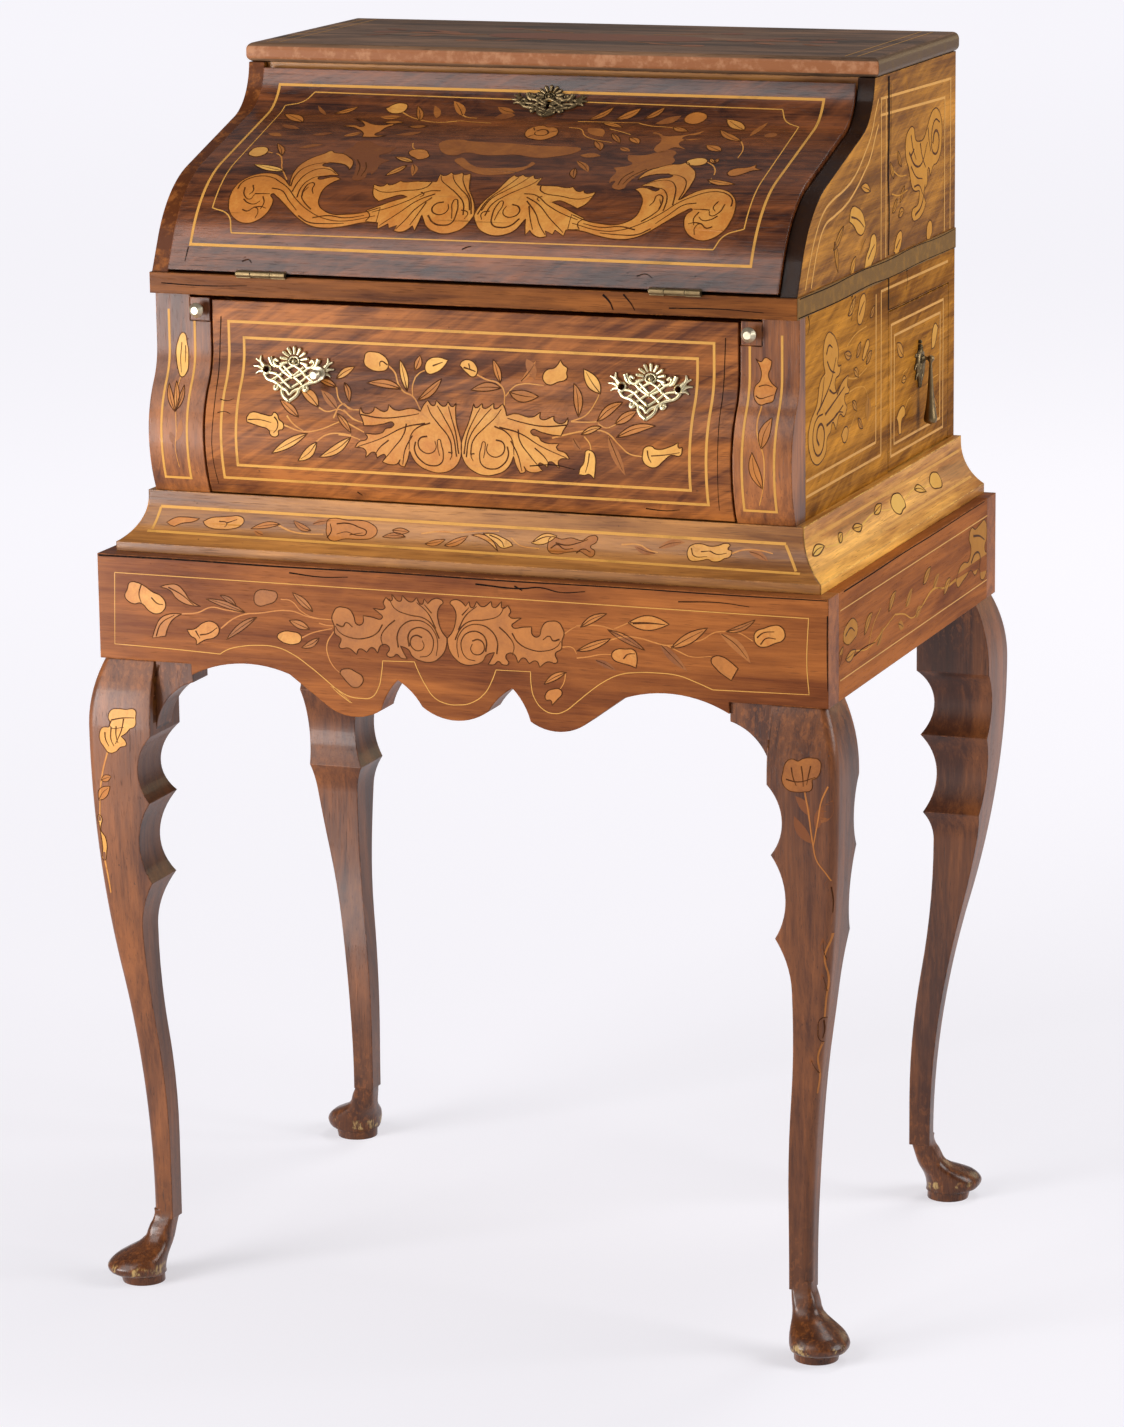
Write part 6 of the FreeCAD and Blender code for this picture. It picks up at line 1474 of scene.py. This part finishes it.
class ESCRITOIRE_OT_drawer(Desk, bpy.types.Operator):
    """Marquetry and stringing of the front drawer and the stiles beside it"""
    bl_idname = "escritoire.drawer"
    bl_label = "Drawer and stile marquetry"

    def execute(self, context):
        s = self.sizes
        work = Inlay("drawer", Ground("drawer_front", *FRONT), "front_drawer", 1.25)
        for about in (None, -1.1):
            work.draw(DRAWER_ACANTHUS, about, dim=0.18)
        work.draw(DRAWER_FLOWERS)
        work.frame(-222, 728.5, 216, 861, s.bold)
        work.frame(-208, 740.5, 201.5, 847.5, s.bold)
        work.finish(inlay_finishes(), s.strip)
        for name, text, edges in (("stile_left", STILE_LEFT, (-278, 726, -254, 869.5)),
                                  ("stile_right", STILE_RIGHT, (247, 725.5, 275, 870))):
            work = Inlay(name, Ground(name, *FRONT), "case")
            work.draw(text)
            work.frame(*edges, s.bold * 0.9)
            work.finish(inlay_finishes(), s.strip)
        return {"FINISHED"}


class ESCRITOIRE_OT_stand(Desk, bpy.types.Operator):
    """Marquetry and stringing of the moulding and aprons"""
    bl_idname = "escritoire.stand"
    bl_label = "Stand marquetry"

    def execute(self, context):
        s = self.sizes
        lean, rise = 0.5, math.sqrt(0.75)
        work = Inlay("apron_front", Ground("apron_front", *FRONT), "case", 1.25)
        for about in (None, -6.3):
            work.draw(APRON_ACANTHUS, about, dim=0.27)
        work.draw(APRON_FLOWERS, dim=0.12)
        work.strings(s.fine * 0.7, *(run for _, _, run in pattern(APRON_STRING)), ((-314, 646), (313, 645)))
        work.finish(inlay_finishes())
        work = Inlay("moulding_front", Ground("moulding_front", (1, 0, 0), (0, lean, rise)), "case")
        work.draw(MOULDING_FLOWERS)
        work.strings(s.bold, ((-285, 498.5), (282, 498)), ((-294, 476), (298, 473)), ((-285, 498), (-290, 478)),
                     ((282, 497), (294, 475)))
        work.finish(inlay_finishes(), MOULDING_STRIP)
        for hand, side in HANDS:
            name = f"moulding_{side}"
            work = Inlay(name, Ground(name, (0, hand, 0), (-lean * hand, 0, rise)), "case", 1.6, hand)
            work.draw(SIDE_MOULDING, dim=-0.3)
            work.strings(s.bold, ((-213, 458), (240, 458)), ((-222, 432), (240, 432)), ((-213, 458), (-221, 433)))
            work.finish(inlay_finishes(True), MOULDING_STRIP)
            name = f"apron_{side}"
            work = Inlay(name, Ground(name, (0, hand, 0), (0, 0, 1)), "case", 1.4, hand)
            work.draw(SIDE_APRON, dim=0.25)
            work.strings(s.fine, ((-218, 646), (222, 646)), ((-218, 587), (222, 587)))
            work.finish(inlay_finishes(True))
        return {"FINISHED"}


class ESCRITOIRE_OT_sides(Desk, bpy.types.Operator):
    """Marquetry and stringing of the two sides and the side drawer"""
    bl_idname = "escritoire.sides"
    bl_label = "Side marquetry"

    def execute(self, context):
        width = self.sizes.fine * 2.1
        finishes = inlay_finishes(True)
        for hand, side in HANDS:
            name = f"side_upper_{side}"
            work = Inlay(name, Ground(name, (0, hand, 0), (0, 0, 1)), "case", 1.5, hand)
            work.draw(SIDE_UPPER, dim=0.2)
            work.strings(width, *(run for _, _, run in pattern(SIDE_OGEE)))
            work.strings(width, ((22, 1041), (236, 1037)), ((22, 1027), (217, 1022)), ((234, 1037), (234, 903)),
                         ((216, 1022), (216, 903)), ((24, 903), (24, 1041)), ((38, 903), (38, 1041)))
            work.finish(finishes)
            name = f"side_lower_{side}"
            work = Inlay(name, Ground(name, (0, hand, 0), (0, 0, 1)), "case", 1.5, hand)
            work.draw(SIDE_LOWER, dim=0.2)
            work.strings(width, ((10, 746.5), (10, 875)), ((25, 733), (25, 875)), ((-185, 746.5), (10, 746.5)),
                         ((-185, 733), (25, 733)), ((24, 875.5), (228, 874.5)))
            work.finish(finishes)
        work = Inlay("side_drawer", Ground("side_drawer_front", *RIGHT), "side_drawer", 1.5)
        work.draw(SIDE_DRAWER, dim=0.15)
        work.frame(54.5, 726.5, 214, 842, width)
        work.frame(64, 736, 204.5, 831.5, width)
        work.finish(finishes)
        return {"FINISHED"}


class ESCRITOIRE_OT_legs(Desk, bpy.types.Operator):
    """Flowers on the knees and trails down the front legs"""
    bl_idname = "escritoire.legs"
    bl_label = "Leg marquetry"

    def execute(self, context):
        for side, text, dim in (("left", LEG_LEFT, 0), ("right", LEG_RIGHT, 0.3)):
            work = Inlay(f"leg_{side}", Ground(f"leg_front_{side} ear_bracket_{side}", *FRONT), "case")
            work.draw(text, dim=dim)
            work.finish(inlay_finishes(), self.sizes.strip * 1.5)
        return {"FINISHED"}


class ESCRITOIRE_OT_top(Desk, bpy.types.Operator):
    """Faded inlay of the top board"""
    bl_idname = "escritoire.top"
    bl_label = "Top marquetry"

    def execute(self, context):
        work = Inlay("top", Ground("top_board", *TOP), "case")
        for about in (None, -2):
            work.draw(TOP_SCROLL, about, dim=0.15)
        work.strings(self.sizes.fine, *(((across, 16), (across, 244)) for across in (-277, -265, 260, 271)))
        work.finish(inlay_finishes())
        return {"FINISHED"}


class ESCRITOIRE_OT_joints(Desk, bpy.types.Operator):
    """Opened joints, cracks and worm holes, with painted shadow beside the broad cracks of the right side"""
    bl_idname = "escritoire.joints"
    bl_label = "Joints and cracks"

    def execute(self, context):
        f = Finish("open_joint")
        depth = f.cloud(200, 3, 0.6)
        f.feed("Base Color", f.mix(f.step(depth, 0.5, 0.7), self.tints.joint, self.tints.engraving))
        f.feed("Roughness", 0.6 + depth * 0.2)
        f.polish(0.05)
        for name, nodes, axes, text, body in (
                ("apron_joint", "apron_front", FRONT, APRON_CRACKS, "case"),
                ("apron_side_joint", "apron_right", RIGHT, SIDE_CRACKS, "case"),
                ("drawer_wear", "drawer_front", FRONT, DRAWER_CRACKS, "front_drawer"),
                ("ledge_wear", "desk_board", FRONT, LEDGE_CRACKS, "case"),
                ("side_cracks_and_shadow", "side_upper_right side_lower_right desk_board", RIGHT, CASE_CRACKS_AND_SHADOW, "case"),
                ("fall_wear", "fall", FALL, FALL_CRACKS, "fall")):
            work = Inlay(name, Ground(nodes, *axes), body)
            work.draw(text)
            work.finish({**inlay_finishes(), "engraving": f.material}, self.sizes.strip * 2)
        return {"FINISHED"}


class Casting:
    """Pierced brass tracery of round bars and beads, gathered flat and laid on a panel."""

    def __init__(self, ground):
        self.ground = ground
        self.bm = bmesh.new()

    def bar(self, points, radius, closed=False, taper=1):
        """Round bar through points in millimetres."""
        take(self.bm, curve_mesh(points, closed, taper, bevel_depth=radius * BAR_SPREAD * MM, bevel_resolution=2,
                                 use_fill_caps=not closed))

    def bead(self, across, up, radius):
        """Round bead at a point."""
        bmesh.ops.create_icosphere(self.bm, subdivisions=2, radius=radius * MM,
                                   matrix=Matrix.Translation((across * MM, up * MM, 0.4 * MM)))

    def post(self, across, up, radius, height):
        """Round post that stands out of the panel."""
        place = Matrix.Translation((across * MM, up * MM, height / 2 * MM))
        bmesh.ops.create_cone(self.bm, cap_ends=True, segments=16, radius1=radius * MM, radius2=radius * 0.9 * MM,
                              depth=height * MM, matrix=place)

    def shell(self, centre, size, rays=9):
        """Fan of rays with a bead at the end of each."""
        for index in range(rays):
            turn = math.pi * (1.08 - 1.16 * index / (rays - 1))
            ray = [(centre[0] + r * math.cos(turn) * size[0], centre[1] + (9 + r * math.sin(turn)) * size[1], False)
                   for r in (6.2, 9, 12.3)]
            self.bar(ray, 0.8, taper=1.6)
            self.bead(*ray[-1][:2], 1.5)

    def tracery(self, text, centre, size=(1, 1)):
        """Bars, rings and beads of a pattern on both sides of a centre."""
        for kind, amounts, points in pattern(text):
            for hand in (-1, 1):
                spots = [(centre[0] + hand * u * size[0], centre[1] + v * size[1], c) for u, v, c in points]
                if kind == "bead":
                    self.bead(*spots[0][:2], amounts[0])
                else:
                    self.bar(spots, amounts[0], kind == "ring", *amounts[1:])

    def plate(self, centre, size):
        """Crested plate: shell over a lattice between two leafy wings and a foot."""
        self.shell(centre, size)
        self.tracery(PLATE, centre, size)

    def finish(self, name, node, body, finish):
        """Lays the casting on its panel in the stead of a node."""
        for vert in self.bm.verts:
            vert.co.z = vert.co.z * RELIEF + RISE
        self.ground.lay(self.bm)
        bmesh.ops.recalc_face_normals(self.bm, faces=self.bm.faces[:])
        piece = smooth_piece(name, self.bm, bpy.data.materials[finish])
        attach(piece, body)
        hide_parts(node)


class ESCRITOIRE_OT_brass(Desk, bpy.types.Operator):
    """Pierced brass plates of the drawer and the fall, and the drop of the side drawer"""
    bl_idname = "escritoire.brass"
    bl_label = "Brass castings"

    def execute(self, context):
        plates = Casting(Ground("drawer_front", *FRONT))
        for across in (-161, 161):
            plates.plate((across, 821), (1, 0.95))
        plates.finish("drawer_castings", "drawer_plates", "front_drawer", "brass")
        guard = Casting(Ground("fall", *FALL))
        guard.plate((0, 612.5), (0.94, 0.66))
        guard.finish("escutcheon_casting", "escutcheon", "fall", "dark_brass")
        across = 138.5
        shield = Casting(Ground("side_drawer_front", *RIGHT))
        shield.tracery(SHIELD, (across, 0))
        shield.post(across, 800.5, 1.7, 12)
        shield.finish("drop_casting", "drop_plate", "side_drawer", "dark_brass")
        self.drop((0.301, across * MM, 0))
        return {"FINISHED"}

    def drop(self, place):
        """Slender drop that hangs from the post of the side drawer."""
        _, _, points = next(pattern(DROP))
        bm = bmesh.new()
        take(bm, curve_mesh(points, resolution_u=4))
        bmesh.ops.rotate(bm, verts=bm.verts[:], cent=(0, 0, 0), matrix=Matrix.Rotation(math.pi / 2, 3, "X"))
        bmesh.ops.spin(bm, geom=bm.verts[:] + bm.edges[:], cent=(0, 0, 0), axis=(0, 0, 1), angle=2 * math.pi,
                       steps=24, use_merge=True)
        bmesh.ops.remove_doubles(bm, verts=bm.verts[:], dist=0.00002)
        bmesh.ops.recalc_face_normals(bm, faces=bm.faces[:])
        bmesh.ops.translate(bm, verts=bm.verts[:], vec=place)
        piece = smooth_piece("drop_turned", bm, bpy.data.materials["dark_brass"])
        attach(piece, "drop_handle")
        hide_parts("drop_handle")


class ESCRITOIRE_PT_panel(bpy.types.Panel):
    """Buttons for the desk's pieces"""
    bl_idname = "ESCRITOIRE_PT_panel"
    bl_label = "Escritoire"
    bl_space_type = "VIEW_3D"
    bl_region_type = "UI"
    bl_category = "Escritoire"

    def draw(self, context):
        for piece in PIECES:
            self.layout.operator(piece.bl_idname)


PIECES = (ESCRITOIRE_OT_stage, ESCRITOIRE_OT_veneers, ESCRITOIRE_OT_feet, ESCRITOIRE_OT_fall, ESCRITOIRE_OT_drawer,
          ESCRITOIRE_OT_stand, ESCRITOIRE_OT_sides, ESCRITOIRE_OT_legs, ESCRITOIRE_OT_top,
          ESCRITOIRE_OT_joints, ESCRITOIRE_OT_brass)
CLASSES = (EscritoireColours, EscritoireSizes, *PIECES, ESCRITOIRE_PT_panel)


def register():
    for piece in CLASSES:
        bpy.utils.register_class(piece)
    bpy.types.Scene.escritoire_colours = PointerProperty(type=EscritoireColours)
    bpy.types.Scene.escritoire_sizes = PointerProperty(type=EscritoireSizes)


def unregister():
    del bpy.types.Scene.escritoire_sizes
    del bpy.types.Scene.escritoire_colours
    for piece in reversed(CLASSES):
        bpy.utils.unregister_class(piece)


def main():
    register()
    for piece in PIECES:
        group, name = piece.bl_idname.split(".")
        getattr(getattr(bpy.ops, group), name)()


if __name__ == "__main__":
    main()
